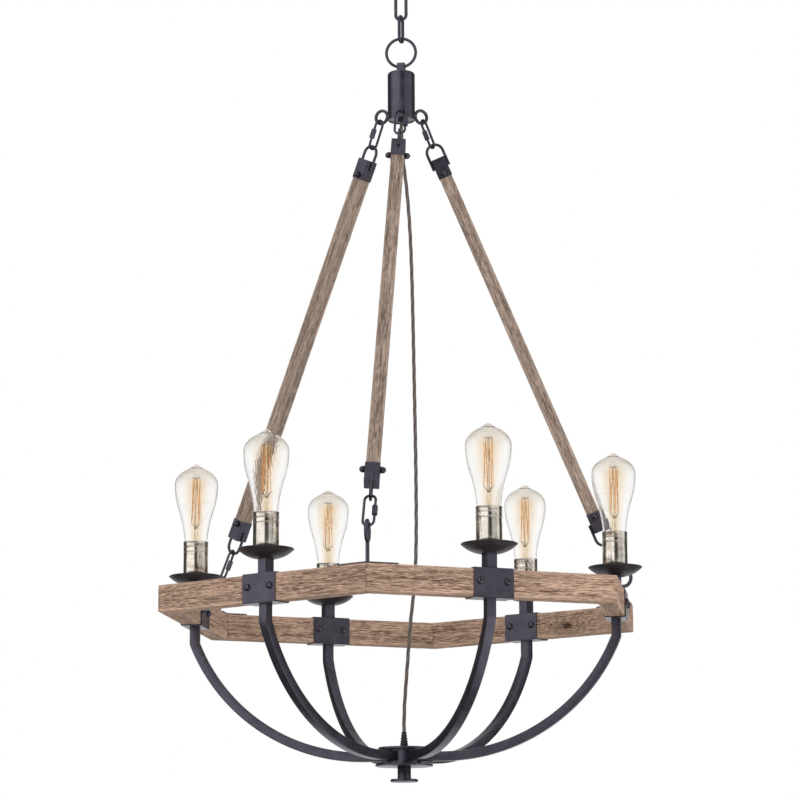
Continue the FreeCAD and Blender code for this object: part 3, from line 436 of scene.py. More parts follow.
def sprayed_group():
    """Soft mottling of a sprayed finish, and a fine grain to feed a bump."""
    tree, given, result = finish_group("sprayed_coat", {
        "Dark": "Color", "Light": "Color", "Patch": "Float", "Grain": "Float", "Gloss": "Float"})
    place = add(tree, "ShaderNodeTexCoord").outputs["Object"]
    patch = mottle(tree, place, given["Patch"], 4.0, 0.6)
    grain = mottle(tree, place, given["Grain"], 2.0)
    both = maths(tree, "ADD", maths(tree, "MULTIPLY", spread(tree, patch, 0.32, 0.7), 0.7),
                 maths(tree, "MULTIPLY", grain, 0.3), clamp=True)
    rough = maths(tree, "ADD", maths(tree, "MULTIPLY", patch, 0.25), 0.28)
    tree.links.new(blend(tree, both, given["Dark"], given["Light"]), result["Color"])
    tree.links.new(maths(tree, "SUBTRACT", rough, given["Gloss"]), result["Roughness"])
    tree.links.new(grain, result["Height"])
    return tree


SPRAYED = sprayed_group()


def sprayed(dark, light, patch=60.0, grain=1400.0, bump=0.18, gloss=0.0):
    return finish(SPRAYED, bump, 0.0003, Dark=(*dark, 1), Light=(*light, 1), Patch=patch, Grain=grain,
                  Gloss=gloss)


black_metal = surface("blackened_metal", sprayed((0.082, 0.076, 0.100), (0.150, 0.141, 0.182), gloss=0.06),
                      Metallic=0.88)
bolt_black = surface("bolt_black", sprayed((0.05, 0.047, 0.058), (0.17, 0.16, 0.19), 260.0, gloss=0.20),
                     Metallic=0.95)


def shape_group(name, *sizes):
    """A Geometry Nodes tree with those sizes and a finish as its inputs."""
    inputs = {"Geometry": "Geometry", **{size: "Float" for size in sizes}, "Finish": "Material"}
    return node_group(name, "GeometryNodeTree", inputs, {"Geometry": "Geometry"})


def end_group(tree, given, result, geometry):
    """Ends a Geometry Nodes tree with real geometry in its finish."""
    real = add(tree, "GeometryNodeRealizeInstances", {0: geometry})
    coated = add(tree, "GeometryNodeSetMaterial", {"Geometry": real.outputs[0], "Material": given["Finish"]})
    tree.links.new(coated.outputs[0], result[0])
    return tree


def host_mesh(points, edges=()):
    """The points, and edges if any, that a tree starts from."""
    mesh = bpy.data.meshes.new("host")
    mesh.from_pydata(points, edges, [])
    return mesh


def grown(tree, host, material, **sizes):
    """The plain mesh that a Geometry Nodes tree makes on a host mesh."""
    holder = linked("host", host)
    modifier = holder.modifiers.new("grow", "NODES")
    modifier.node_group = tree
    wanted = {**sizes, "Finish": material}
    for item in tree.interface.items_tree:
        if item.in_out == "INPUT" and item.name in wanted:
            modifier[item.identifier] = wanted[item.name]
    bpy.context.view_layer.update()
    ready = holder.evaluated_get(bpy.context.evaluated_depsgraph_get())
    mesh = bpy.data.meshes.new_from_object(ready)
    holder.modifiers.remove(modifier)
    bpy.data.objects.remove(holder)
    return mesh


def rounded_box(tree, width, height, radius, count):
    """A rectangle of curve with round corners."""
    box = add(tree, "GeometryNodeCurvePrimitiveQuadrilateral", {"Width": width, "Height": height},
              mode="RECTANGLE")
    return add(tree, "GeometryNodeFilletCurve", {"Curve": box.outputs[0], "Count": count, "Radius": radius,
                                                 "Limit Radius": True}, mode="POLY").outputs[0]


def bent_wire_group():
    """Wire bent round an obround of that length and width."""
    tree, given, result = shape_group("bent_wire_link", "Wire", "Long", "Wide")
    across = maths(tree, "SUBTRACT", given["Wide"], given["Wire"])
    down = maths(tree, "SUBTRACT", given["Long"], given["Wire"])
    # just under half, so that the two ends don't meet
    bend = rounded_box(tree, across, down, maths(tree, "MULTIPLY", across, 0.4999), 12)
    half = maths(tree, "MULTIPLY", given["Wire"], 0.5)
    wire = add(tree, "GeometryNodeCurvePrimitiveCircle", {"Resolution": 18, "Radius": half})
    body = add(tree, "GeometryNodeCurveToMesh", {"Curve": bend, "Profile Curve": wire.outputs[0]})
    smooth = add(tree, "GeometryNodeSetShadeSmooth", {"Geometry": body.outputs[0]})
    return end_group(tree, given, result, smooth.outputs[0])


BENT_WIRE = bent_wire_group()


def wire_link(wire, long, wide):
    """An obround link that stands in the XZ plane."""
    return placed(grown(BENT_WIRE, host_mesh([(0, 0, 0)]), black_metal, Wire=wire, Long=long, Wide=wide),
                  turned("X", 90))


def rod(points, wire, sides=18, across=(1, 0, 0), closed=False):
    """Round wire along points in space, closed on itself or with plain ends."""
    solid = bmesh.new()
    rings, _ = rings_along(solid, [Vector(point) for point in points], sides, lambda turn, run: wire / 2,
                           across, closed)
    bridged(solid, rings, closed, not closed)
    return shaded(solid, 60)


def wire_ring(outer, wire, around=48):
    """A ring of round wire that stands in the XZ plane."""
    circle = arc((0, 0), (outer - wire) / 2, 0, 360 - 360 / around, around - 1)
    return rod([(x, 0, z) for x, z in circle], wire, closed=True)


reach = LINK_LONG / 2 - LINK_WIRE
top_link = placed(wire_link(LINK_WIRE, LINK_LONG, LINK_WIDE), shifted(0, 0, -reach))
steel_piece("chain_link_top", top_link, "top_link", "upper_link")
low_link = placed(wire_link(LINK_WIRE, LINK_LONG, LINK_WIDE),
                  shifted(0, 0, LOWER_LINK_Z + reach) @ turned("Z", LINK_TURN))
steel_piece("chain_link_low", low_link, "lower_link", "lower_link")
loop = placed(wire_ring(LOOP_OUTER, LOOP_WIRE, 64), shifted(0, 0, LOOP_Z))
steel_piece("hanging_loop", loop, "loop_ring", "loop_ring")


# ------------------------------------------------------------------ canister
# A drawn steel cup with a softly rounded shoulder and a strap over its top for the loop. A pressed
# plate closes its foot round the flex's collar, and three welded eyes carry the hangers.
CAN_FOOT, CAN_HIGH, CAN_TWIST = -200.4, 76.2, 7.7
CAN_WIDE, CAN_ROUND, CAN_WALL = 42.0, 4.0, 1.5
STRAP_WIDE, STRAP_THICK, STRAP_INNER = 12.0, 3.5, 10.0
CAN_EYE_R, CAN_EYE_Z = 35.05, -189.6
EYE_OUTER, EYE_WIRE, STUD_WIDE, STUD_LONG = 25.3, 5.0, 4.4, 4.0
HANGER_CORNERS = [-90, 30, 150]


def on_ring(azimuth, radius, z):
    return turned("Z", azimuth) @ shifted(radius, 0, z)


def on_can(azimuth, radius, z):
    return on_ring(azimuth + CAN_TWIST, radius, z)


def lathed(profile, around, sharp=32.0, closed=False):
    """A shape turned about Z from pairs of radius and height."""
    solid = bmesh.new()
    turns = [2 * math.pi * step / around for step in range(around)]
    rings = []
    for radius, height in profile:
        if radius <= 1e-6:
            rings.append([solid.verts.new((0, 0, height))])
            continue
        rings.append([solid.verts.new((radius * math.cos(turn), radius * math.sin(turn), height))
                      for turn in turns])
    bridged(solid, rings, closed)
    return shaded(solid, sharp)


def broken(solid, edges, width, segments=2):
    """Breaks those edges softly."""
    bmesh.ops.bevel(solid, geom=edges, offset=width, segments=segments, affect="EDGES", clamp_overlap=True)


def slab(points, low, high, bevel):
    """A flat plate with that outline in XY between two heights, its edges softly broken."""
    solid = bmesh.new()
    bridged(solid, [[solid.verts.new((x, y, z)) for x, y in points] for z in (low, high)], capped=True)
    bmesh.ops.recalc_face_normals(solid, faces=solid.faces)
    broken(solid, [edge for edge in solid.edges if edge.calc_face_angle(0.0) > math.radians(30)], bevel)
    return shaded(solid)


def strap():
    """The steel strap over the canister's top, its inner crown just under the loop's wire."""
    inside = LOOP_OUTER / 2 - LOOP_WIRE
    rise = inside - math.sqrt(inside ** 2 - (STRAP_WIDE / 2) ** 2)
    crown = LOOP_Z - inside + rise + 0.3 - (CAN_FOOT + CAN_HIGH)
    near, far = STRAP_INNER / 2, STRAP_INNER / 2 + STRAP_THICK
    legs = crown - near
    side = [(near, 0), (far, 0)] + arc((0, legs), far, 0, 180, 20) + [(-far, 0), (-near, 0)]
    side += arc((0, legs), near, 180, 0, 16)
    return placed(slab(side, -STRAP_WIDE / 2, STRAP_WIDE / 2, 0.7),
                  shifted(0, 0, CAN_HIGH) @ turned("Z", 90) @ turned("X", 90))


def build_canister():
    outer, foot = CAN_WIDE / 2, shifted(0, 0, CAN_FOOT)
    shoulder = arc((outer - CAN_ROUND, CAN_HIGH - CAN_ROUND), CAN_ROUND, 0, 90, 8)
    cup = lathed([(outer - CAN_WALL, 4.5), (outer - CAN_WALL, 0.3), (outer - 1.2, 0.0), (outer - 0.3, 0.1),
                  (outer, 0.5)] + shoulder + [(0, CAN_HIGH)], 96)
    steel_piece("canister_shell", placed(joined([cup, strap()]), foot), "canister", "canister")
    # the rim of the foot plate is rolled into the cup, and its collar holds the flex
    plate = lathed([(0, -2.5), (2.95, -2.5), (2.95, -1.9), (5.0, -2.5), (5.5, -2.0), (5.5, 0.9), (6.1, 1.5),
                    (17.6, 1.5), (18.3, 1.2), (19.2, 1.2), (19.4, 1.6), (19.4, 3.5), (0, 3.5)], 72)
    steel_piece("canister_foot_plate", placed(plate, foot), "canister", "canister_base")
    eye = wire_ring(EYE_OUTER, EYE_WIRE)
    # each stud flares into its weld on the can
    stud = lathed([(0, 0), (STUD_WIDE / 2 + 0.9, 0), (STUD_WIDE / 2 + 0.25, 0.7), (STUD_WIDE / 2, 1.6),
                   (STUD_WIDE / 2, STUD_LONG), (0, STUD_LONG)], 24)
    eyelet = joined([eye, (stud, shifted(-(EYE_OUTER / 2 + 1.35)) @ turned("Y", 90))])
    eyelets = joined([(eyelet, on_can(azimuth, CAN_EYE_R, CAN_EYE_Z)) for azimuth in HANGER_CORNERS])
    steel_piece("canister_eyelets", eyelets, "canister", "canister_eyes")


build_canister()


# ------------------------------------------------------------------ weathered wood bars
# Three hanger bars of rough sawn softwood, stained a grey brown and worn at their edges. Each is held
# in a folded steel cap at either end by a bolt with two domed nuts, below a bail of bent rod.
HANGER_SWING, HANGER_LEAN, HANGER_LONG = -0.816, 25.21, 773.70
BAR_SIDE, BAR_EDGE, BAR_WEAR, BAR_STATIONS = 19.8, 1.1, 0.30, 150
SAG, BAR_ROLLS = 2.5, [8, -25, -3]
CAP_OUTER, CAP_WALL, CAP_LONG, CAP_GAP = 21.6, 0.8, 31.6, 0.1
CAP_TOP, LOW_CAP_END = 69.55, 695.4
BAIL_WIRE, BAIL_REACH, BAIL_SIDE, BAIL_OVERLAP = 4.4, 25.0, 12.6, 15.0
BOLT_IN, NUT_WIDE, NUT_PROUD, NUT_SKIRT = 25.3, 9.5, 8.0, 3.25
SQUARE = ((1, 1), (-1, 1), (-1, -1), (1, -1))


def on_hanger(azimuth):
    """From the canister's eye, looking back up the straight line to the eye at the ring's corner."""
    eye = on_can(azimuth, CAN_EYE_R, CAN_EYE_Z).translation
    return Matrix.Translation(eye) @ turned("Z", azimuth + HANGER_SWING) @ turned("Y", -HANGER_LEAN)


def timber_section(half_w, half_h, edge):
    """Points round a timber: two offsets, the way that it faces there and how much an edge it is."""
    rim = []
    for corner, (x, y) in enumerate(SQUARE):
        for step in range(3):
            angle = math.radians(corner * 90 + step * 45)
            out = (math.cos(angle), math.sin(angle))
            rim.append((x * (half_w - edge) + edge * out[0], y * (half_h - edge) + edge * out[1], *out,
                        1.0 if step == 1 else 0.75))
        # then the flat to the next corner
        u, v, across, up, _ = rim[-1]
        x, y = SQUARE[(corner + 1) % 4]
        end = (x * (half_w - edge) + edge * across, y * (half_h - edge) + edge * up)
        rim += [(u + (end[0] - u) * step / 6, v + (end[1] - v) * step / 6, across, up, 0.0)
                for step in range(1, 6)]
    return rim


def timber(count, place_at, section, seed, wear):
    """A length of timber. place_at gives a point from two section offsets and a share of its length.
    Its own map of the grain, in metres, is kept with it, and so is the wear along its edges."""
    solid = bmesh.new()
    grain = solid.verts.layers.float_vector.new("grain")
    worn = solid.verts.layers.float.new("worn")
    start = Vector(place_at(0, 0, 0))
    rings = []
    for station in range(count + 1):
        share = station / count
        run = (Vector(place_at(0, 0, share)) - start).length
        ring = []
        for u, v, across, up, corner in section:
            dent = 0.5 + 0.5 * noise.noise(Vector((u * 0.09 + seed * 7.1, v * 0.09, station * 0.30)))
            fine = 0.5 + 0.5 * noise.noise(Vector((u * 0.8 + seed, v * 0.8, station * 0.11)))
            # saw marks all over, and knocks along the edges
            cut = wear * (0.25 * dent + 0.35 * fine + 1.6 * corner * dent ** 2)
            a, b = u - across * cut, v - up * cut
            vertex = solid.verts.new(place_at(a, b, share))
            vertex[grain] = (run * MM + seed * 1.37, a * MM, b * MM + seed * 0.11)
            vertex[worn] = corner
            ring.append(vertex)
        rings.append(ring)
    bridged(solid, rings, capped=True)
    bmesh.ops.recalc_face_normals(solid, faces=solid.faces)
    for face in solid.faces:
        face.smooth = len(face.verts) == 4
    return as_mesh(solid)


def wood_group():
    """Weathered softwood along its own grain map: growth lines, fine pores, grey bloom, paler worn
    edges and a knot at one spot."""
    tree, given, result = finish_group("weathered_wood", {
        "Dark": "Color", "Middle": "Color", "Light": "Color", "Bloom": "Color", "Share": "Float",
        "Knot": "Vector"})
    where = add(tree, "ShaderNodeAttribute", attribute_name="grain").outputs["Vector"]
    worn = add(tree, "ShaderNodeAttribute", attribute_name="worn").outputs["Fac"]

    def vector(operation, first, second):
        return add(tree, "ShaderNodeVectorMath", {0: first, 1: second}, operation=operation).outputs[0]

    def times(first, second, clamp=False):
        return maths(tree, "MULTIPLY", first, second, clamp)

    # the knot pushes the growth lines aside
    offset = vector("MULTIPLY", vector("SUBTRACT", where, given["Knot"]), (55.0, 55.0, 110.0))
    away = add(tree, "ShaderNodeVectorMath", {0: offset}, operation="LENGTH").outputs["Value"]
    near = spread(tree, away, 0.3, 2.4, 1.0, 0.0, "SMOOTHSTEP")
    heart = spread(tree, away, 0.35, 0.6, 1.0, 0.0)
    warp = mottle(tree, vector("MULTIPLY", where, (3.0, 22.0, 22.0)), 1.0, 2.0)
    lift = maths(tree, "ADD", times(warp, 0.007), times(near, 0.006))
    bent = vector("ADD", where, add(tree, "ShaderNodeCombineXYZ", {"Y": lift, "Z": lift}).outputs[0])

    def streaks(along, across, detail, rough):
        return mottle(tree, vector("MULTIPLY", bent, (along, across, across)), 1.0, detail, rough)

    broad = streaks(7.0, 170.0, 3.0, 0.65)
    lines = streaks(24.0, 860.0, 3.0, 0.7)
    pores = streaks(90.0, 900.0, 2.0, 0.6)
    patches = streaks(6.0, 34.0, 3.0, 0.6)
    saw = streaks(420.0, 30.0, 2.0, 0.6)
    tone = spread(tree, maths(tree, "ADD", times(broad, 0.32), times(lines, 0.68)), 0.41, 0.585)
    color = blend(tree, tone, given["Dark"], given["Light"])
    color = blend(tree, 0.12, color, given["Middle"])
    color = blend(tree, times(spread(tree, patches, 0.42, 0.68), given["Share"], True), color, given["Bloom"])
    hole = spread(tree, pores, 0.36, 0.45, 1.0, 0.0)
    color = blend(tree, times(hole, 0.6), color, given["Dark"])
    color = blend(tree, spread(tree, pores, 0.54, 0.64, 0.0, 0.75), color, given["Light"])
    color = blend(tree, times(times(worn, broad), 0.85, True), color, given["Light"])
    color = blend(tree, times(times(near, 0.35), lines), color, (0.10, 0.055, 0.03, 1))
    color = blend(tree, times(heart, 0.9), color, (0.045, 0.024, 0.014, 1))
    tree.links.new(color, result["Color"])
    tree.links.new(maths(tree, "ADD", times(lines, 0.25), 0.62), result["Roughness"])
    height = maths(tree, "ADD", times(lines, 0.5), times(saw, 0.2))
    tree.links.new(maths(tree, "SUBTRACT", height, times(hole, 0.35)), result["Height"])
    return tree


WOOD = wood_group()
# a place on the grain map that no timber reaches
NO_KNOT = (9.0, 9.0, 9.0)


def timber_stain(name, dark, middle, light, bloom, share, knot=NO_KNOT):
    looks = finish(WOOD, 0.55, 0.0006, Dark=(*dark, 1), Middle=(*middle, 1), Light=(*light, 1),
                   Bloom=(*bloom, 1), Share=share, Knot=knot)
    return surface(name, looks, Specular_IOR_Level=0.25)


bar_wood = timber_stain("hanger_timber", (0.105, 0.072, 0.052), (0.28, 0.200, 0.152), (0.62, 0.475, 0.385),
                        (0.24, 0.185, 0.15), 0.5)


def nut_group():
    """Domed nuts, each on a point and facing the way that the point's attribute says."""
    tree, given, result = shape_group("domed_nuts", "Across", "Rise", "Skirt")
    half = maths(tree, "MULTIPLY", given["Across"], 0.5)
    skirt_high = given["Skirt"]
    sides = 24

    def shape(kind, inputs, **settings):
        return add(tree, kind, inputs, **settings).outputs[0]

    def vector(z, across=0.0):
        return shape("ShaderNodeCombineXYZ", {"X": across, "Y": across, "Z": z})

    ball = shape("GeometryNodeMeshUVSphere", {"Segments": sides, "Rings": 14, "Radius": 1.0})
    squash = vector(maths(tree, "SUBTRACT", given["Rise"], skirt_high), half)
    dome = shape("GeometryNodeTransform", {"Geometry": ball, "Translation": vector(skirt_high),
                                           "Scale": squash})
    # what of the dome lies below the skirt's top is cut away
    height = add(tree, "ShaderNodeSeparateXYZ", {0: shape("GeometryNodeInputPosition", {})}).outputs["Z"]
    below = maths(tree, "LESS_THAN", height, maths(tree, "SUBTRACT", skirt_high, 0.01))
    cap = shape("GeometryNodeDeleteGeometry", {"Geometry": dome, "Selection": below}, domain="POINT")
    tube = shape("GeometryNodeMeshCylinder", {"Vertices": sides, "Radius": half, "Depth": skirt_high},
                 fill_type="NONE")
    skirt = shape("GeometryNodeTransform", {"Geometry": tube,
                                            "Translation": vector(maths(tree, "MULTIPLY", skirt_high, 0.5))})
    disc = shape("GeometryNodeMeshCircle", {"Vertices": sides, "Radius": half}, fill_type="NGON")
    foot = shape("GeometryNodeFlipFaces", {"Mesh": disc})
    whole = add(tree, "GeometryNodeJoinGeometry")
    for part in (cap, skirt, foot):
        tree.links.new(part, whole.inputs[0])
    merged = shape("GeometryNodeMergeByDistance", {"Geometry": whole.outputs[0], "Distance": 0.005})
    smooth = shape("GeometryNodeSetShadeSmooth", {"Geometry": merged})
    facing = shape("GeometryNodeInputNamedAttribute", {"Name": "facing"}, data_type="FLOAT_VECTOR")
    aim = shape("FunctionNodeAlignRotationToVector", {"Vector": facing}, axis="Z")
    nuts = shape("GeometryNodeInstanceOnPoints", {"Points": given[0], "Instance": smooth, "Rotation": aim})
    return end_group(tree, given, result, nuts)


DOMED_NUTS = nut_group()


def domed_nuts(seats, across, rise, skirt):
    """A domed nut or screw head at each seat, facing along its Z."""
    host = host_mesh([tuple(seat.translation) for seat in seats])
    facing = host.attributes.new("facing", "FLOAT_VECTOR", "POINT")
    for number, seat in enumerate(seats):
        facing.data[number].vector = seat.to_3x3() @ Vector((0, 0, 1))
    return grown(DOMED_NUTS, host, bolt_black, Across=across, Rise=rise, Skirt=skirt)


def square(solid, half_x, half_y, z):
    return [solid.verts.new((x * half_x, y * half_y, z)) for x, y in SQUARE]


def end_cap():
    """Folded square cap, closed above, and the bail over it."""
    half, inner = CAP_OUTER / 2, CAP_OUTER / 2 - CAP_WALL
    levels = ((inner, -CAP_WALL), (inner, -CAP_LONG), (half, -CAP_LONG), (half, 0.0))
    solid = bmesh.new()
    bridged(solid, [square(solid, size, size, z) for size, z in levels], capped=True)
    bmesh.ops.recalc_face_normals(solid, faces=solid.faces)
    folds = [edge for edge in solid.edges if edge.calc_face_angle(0.0) > math.radians(60)
             and all(abs(abs(vertex.co.x) - half) < 0.01 for vertex in edge.verts)]
    broken(solid, folds, 0.7, 3)
    crown = BAIL_REACH - BAIL_WIRE / 2 - BAIL_SIDE
    leg = [(BAIL_SIDE, -BAIL_OVERLAP), (BAIL_SIDE, -BAIL_OVERLAP / 2), (BAIL_SIDE, 0)]
    bow = leg + arc((0, crown), BAIL_SIDE, 0, 180, 24) + [(-x, z) for x, z in leg[::-1]]
    return joined([shaded(solid, 40), rod([(x, 0, z) for x, z in bow], BAIL_WIRE, 16)])


def build_hanger(number, azimuth):
    place = on_hanger(azimuth) @ shifted(-SAG) @ turned("Z", BAR_ROLLS[number - 1])
    inset = CAP_WALL + CAP_GAP
    top, foot = CAP_TOP + inset, LOW_CAP_END - inset
    bar = timber(BAR_STATIONS, lambda u, v, share: (u, v, -(top + (foot - top) * share)),
                 timber_section(BAR_SIDE / 2, BAR_SIDE / 2, BAR_EDGE), number + 0.3, BAR_WEAR)
    body = f"hanger_{number}"
    finished(f"wood_bar_{number}", placed(bar, place), bar_wood, body,
             [f"hanger_bar_{number}"])
    caps = joined([(end_cap(), shifted(0, 0, -CAP_TOP)),
                   (end_cap(), shifted(0, 0, -LOW_CAP_END) @ turned("Y", 180))])
    steel_piece(f"bar_caps_{number}", placed(caps, place), body, f"hanger_fittings_{number}")
    seats = [shifted(0, 0, -depth) @ turned("X", turn) @ shifted(0, 0, CAP_OUTER / 2)
             for depth in (CAP_TOP + BOLT_IN, LOW_CAP_END - BOLT_IN) for turn in (90, -90)]
    nuts = domed_nuts(seats, NUT_WIDE, NUT_PROUD, NUT_SKIRT)
    finished(f"bar_nuts_{number}", placed(nuts, place), bolt_black, body,
             [f"hanger_bolts_{number}"])


for number, azimuth in enumerate(HANGER_CORNERS, start=1):
    build_hanger(number, azimuth)


# ------------------------------------------------------------------ quick links
# Threaded links of thin wire, closed on one side by a hexagonal sleeve that screws over the gap. One
# joins each bar to its eye above, and a longer one joins it to the ring's eye below.
QUICK_WIRE, QUICK_WIDE, QUICK_TOP, QUICK_LOW = 3.8, 19.5, 49.5, 54.5
QUICK_START, LOW_START = 3.55, 7.3
TOP_TILT, LOW_TILT, LOW_ROLLS = 2.414, 2.104, [0, 0, 18]
SLEEVE_FLATS, SLEEVE_LONG, SLEEVE_TURNED = 7.4, 15.0, 0.7


def screw_sleeve():
    """Hexagonal sleeve with turned, slightly conical ends, standing on its leg of the link."""
    corner, bore, high = SLEEVE_FLATS / math.sqrt(3), QUICK_WIRE / 2 + 0.1, SLEEVE_LONG / 2
    half = [(corner, high - SLEEVE_TURNED), (corner * 0.86, high), (bore, high)]
    solid = bmesh.new()
    rings = []
    for radius, z in [(radius, -z) for radius, z in half[::-1]] + half:
        ring = []
        for step in range(24):
            angle = 2 * math.pi * step / 24
            flat = math.cos(math.pi / 6) / math.cos(angle % (math.pi / 3) - math.pi / 6)
            reach = min(radius, corner * flat) if radius > bore else radius
            ring.append(solid.verts.new((reach * math.cos(angle), reach * math.sin(angle), z)))
        rings.append(ring)
    bridged(solid, rings, closed=True)
    return shaded(solid, 25)


def build_quick_links(number, azimuth):
    down = on_hanger(azimuth)
    leg = (QUICK_WIDE - QUICK_WIRE) / 2
    # the sleeve of the third hanger's lower link is on the other leg
    places = (
        ("top", QUICK_TOP, leg, down @ turned("Y", TOP_TILT) @ shifted(0, 0, -(QUICK_START + QUICK_TOP / 2))),
        ("bottom", QUICK_LOW, -leg if number == 3 else leg,
         down @ shifted(0, 0, -HANGER_LONG) @ turned("Y", -LOW_TILT) @ turned("Z", LOW_ROLLS[number - 1])
         @ shifted(0, 0, LOW_START + QUICK_LOW / 2)))
    links = []
    for end, long, side, place in places:
        links.append((wire_link(QUICK_WIRE, long, QUICK_WIDE), place @ turned("Z", 90)))
        sleeve = placed(screw_sleeve(), place @ shifted(0, side))
        steel_piece(f"screw_sleeve_{number}_{end}", sleeve, f"nut_{number}_{end}", f"link_nut_{number}_{end}")
    steel_piece(f"quick_links_{number}", joined(links), f"hanger_{number}", f"hanger_links_{number}")


for number, azimuth in enumerate(HANGER_CORNERS, start=1):
    build_quick_links(number, azimuth)


# ------------------------------------------------------------------ wood ring
# Six mitred beams of the same softwood in a warmer stain, glued and pinned into a hexagon. Under each
# hanger a steel plate spans the mitre, and an eye bolt goes down through it.
RING_TOP, RING_R, RING_EYE_R, RING_EYE_Z = -935.0, 315.456, 364.257, -889.6
SIDES = [-60 + 60 * k for k in range(6)]
ACROSS, BEAM_THICK, BEAM_HIGH = 762.0, 29.0, 39.0
BEAM_EDGE, BEAM_WEAR, BEAM_STATIONS = 1.0, 0.34, 110
PLATE_LEG, PLATE_THICK = 49.0, 1.6
RING_EYE_OUTER, RING_EYE_WIRE, EYE_DEPTH, SHANK_RISE = 34.0, 5.6, 26.0, 30.5
# along the beam, across it and up it, on its own grain map
KNOT_PLACE = (4.20, -0.0145, 0.326)
RING_STAIN = ((0.085, 0.040, 0.024), (0.37, 0.214, 0.136), (0.85, 0.580, 0.430), (0.21, 0.145, 0.105), 0.6)
ring_wood = timber_stain("ring_timber", *RING_STAIN)
knot_wood = timber_stain("ring_timber_knot", *RING_STAIN, KNOT_PLACE)


def along_side(u, v, share):
    """A point of a beam that ends in mitres, from its section offsets and a share of its length."""
    radius = RING_R + u
    return radius, (2 * share - 1) * radius * math.tan(math.radians(30)), v - BEAM_HIGH / 2


def build_beams():
    section = timber_section(BEAM_THICK / 2, BEAM_HIGH / 2, BEAM_EDGE)
    for number, azimuth in enumerate(SIDES, start=1):
        beam = timber(BEAM_STATIONS, along_side, section, number, BEAM_WEAR)
        finished(f"ring_timber_{number}", placed(beam, on_ring(azimuth, 0, RING_TOP)),
                 knot_wood if number == 3 else ring_wood, "ring_frame", [f"ring_beam_{number}"])


def build_corner_fittings():
    corner = ACROSS / 2
    leg_x, leg_y = PLATE_LEG / 2, PLATE_LEG * math.sin(math.radians(60))
    step_x, step_y = BEAM_THICK * math.sin(math.radians(60)), BEAM_THICK / 2
    inside = corner - BEAM_THICK / math.cos(math.radians(30))
    outline = [(corner, 0), (corner - leg_x, leg_y), (corner - leg_x - step_x, leg_y - step_y), (inside, 0),
               (corner - leg_x - step_x, step_y - leg_y), (corner - leg_x, -leg_y)]
    plate = slab(outline, 0, PLATE_THICK, 0.35)
    eye = wire_ring(RING_EYE_OUTER, RING_EYE_WIRE, 56)
    half = RING_EYE_WIRE / 2
    tip = 0.1 - EYE_DEPTH
    shank = lathed([(0, tip), (half - 0.5, tip), (half, tip + 0.5), (half, SHANK_RISE), (0, SHANK_RISE)], 24)
    plates, eyes = [], []
    for azimuth in HANGER_CORNERS:
        plates.append((plate, on_ring(azimuth, 0, RING_TOP)))
        eyes += [(eye, on_ring(azimuth, RING_EYE_R, RING_EYE_Z)),
                 (shank, on_ring(azimuth, RING_EYE_R, RING_TOP))]
    steel_piece("corner_straps", joined(plates), "ring_frame", "corner_plates")
    steel_piece("ring_eyes", joined(eyes), "ring_frame", "eye_bolts")


build_beams()
build_corner_fittings()


# ------------------------------------------------------------------ brackets
# A folded and welded steel sleeve wraps the middle of each beam, held by two domed screws on either
# face. A square post on its top carries the lamp's saucer.
WRAP_LONG, WRAP_WALL, WRAP_GAP, WRAP_BEND = 60.0, 1.5, 0.1, 1.3
POST_SIDE, POST_HIGH, POST_WALL, POST_BEND, POST_SUNK = 17.0, 21.3, 1.4, 1.2, 0.4
SCREW_APART, SCREW_RAISE, SCREW_HEAD, SCREW_DOME, SCREW_SKIRT = 41.0, 2.0, 10.5, 4.2, 0.7


def all_round(mesh, z):
    """One of them in the middle of each of the ring's sides."""
    return joined([(mesh, on_ring(azimuth, RING_R, z)) for azimuth in SIDES])


def box_tube(wide, deep, wall, low, high, bend):
    """A square tube along Z with its long edges softly bent."""
    solid = bmesh.new()
    levels = ((wall, low), (0, low), (0, high), (wall, high))
    bridged(solid, [square(solid, wide / 2 - inset, deep / 2 - inset, z) for inset, z in levels], closed=True)
    bmesh.ops.recalc_face_normals(solid, faces=solid.faces)

    def outer(vertex):
        return abs(abs(vertex.co.x) - wide / 2) < 0.01 and abs(abs(vertex.co.y) - deep / 2) < 0.01

    outside = [edge for edge in solid.edges if all(outer(vertex) for vertex in edge.verts)]
    rims = [edge for edge in outside if abs(edge.verts[0].co.z - edge.verts[1].co.z) < 1e-6]
    broken(solid, [edge for edge in outside if edge not in rims], bend, 4)
    rims = [edge for edge in rims if edge.is_valid and edge.is_manifold
            and edge.calc_face_angle(0.0) > math.radians(60)]
    broken(solid, rims, 0.25)
    return shaded(solid, 40)


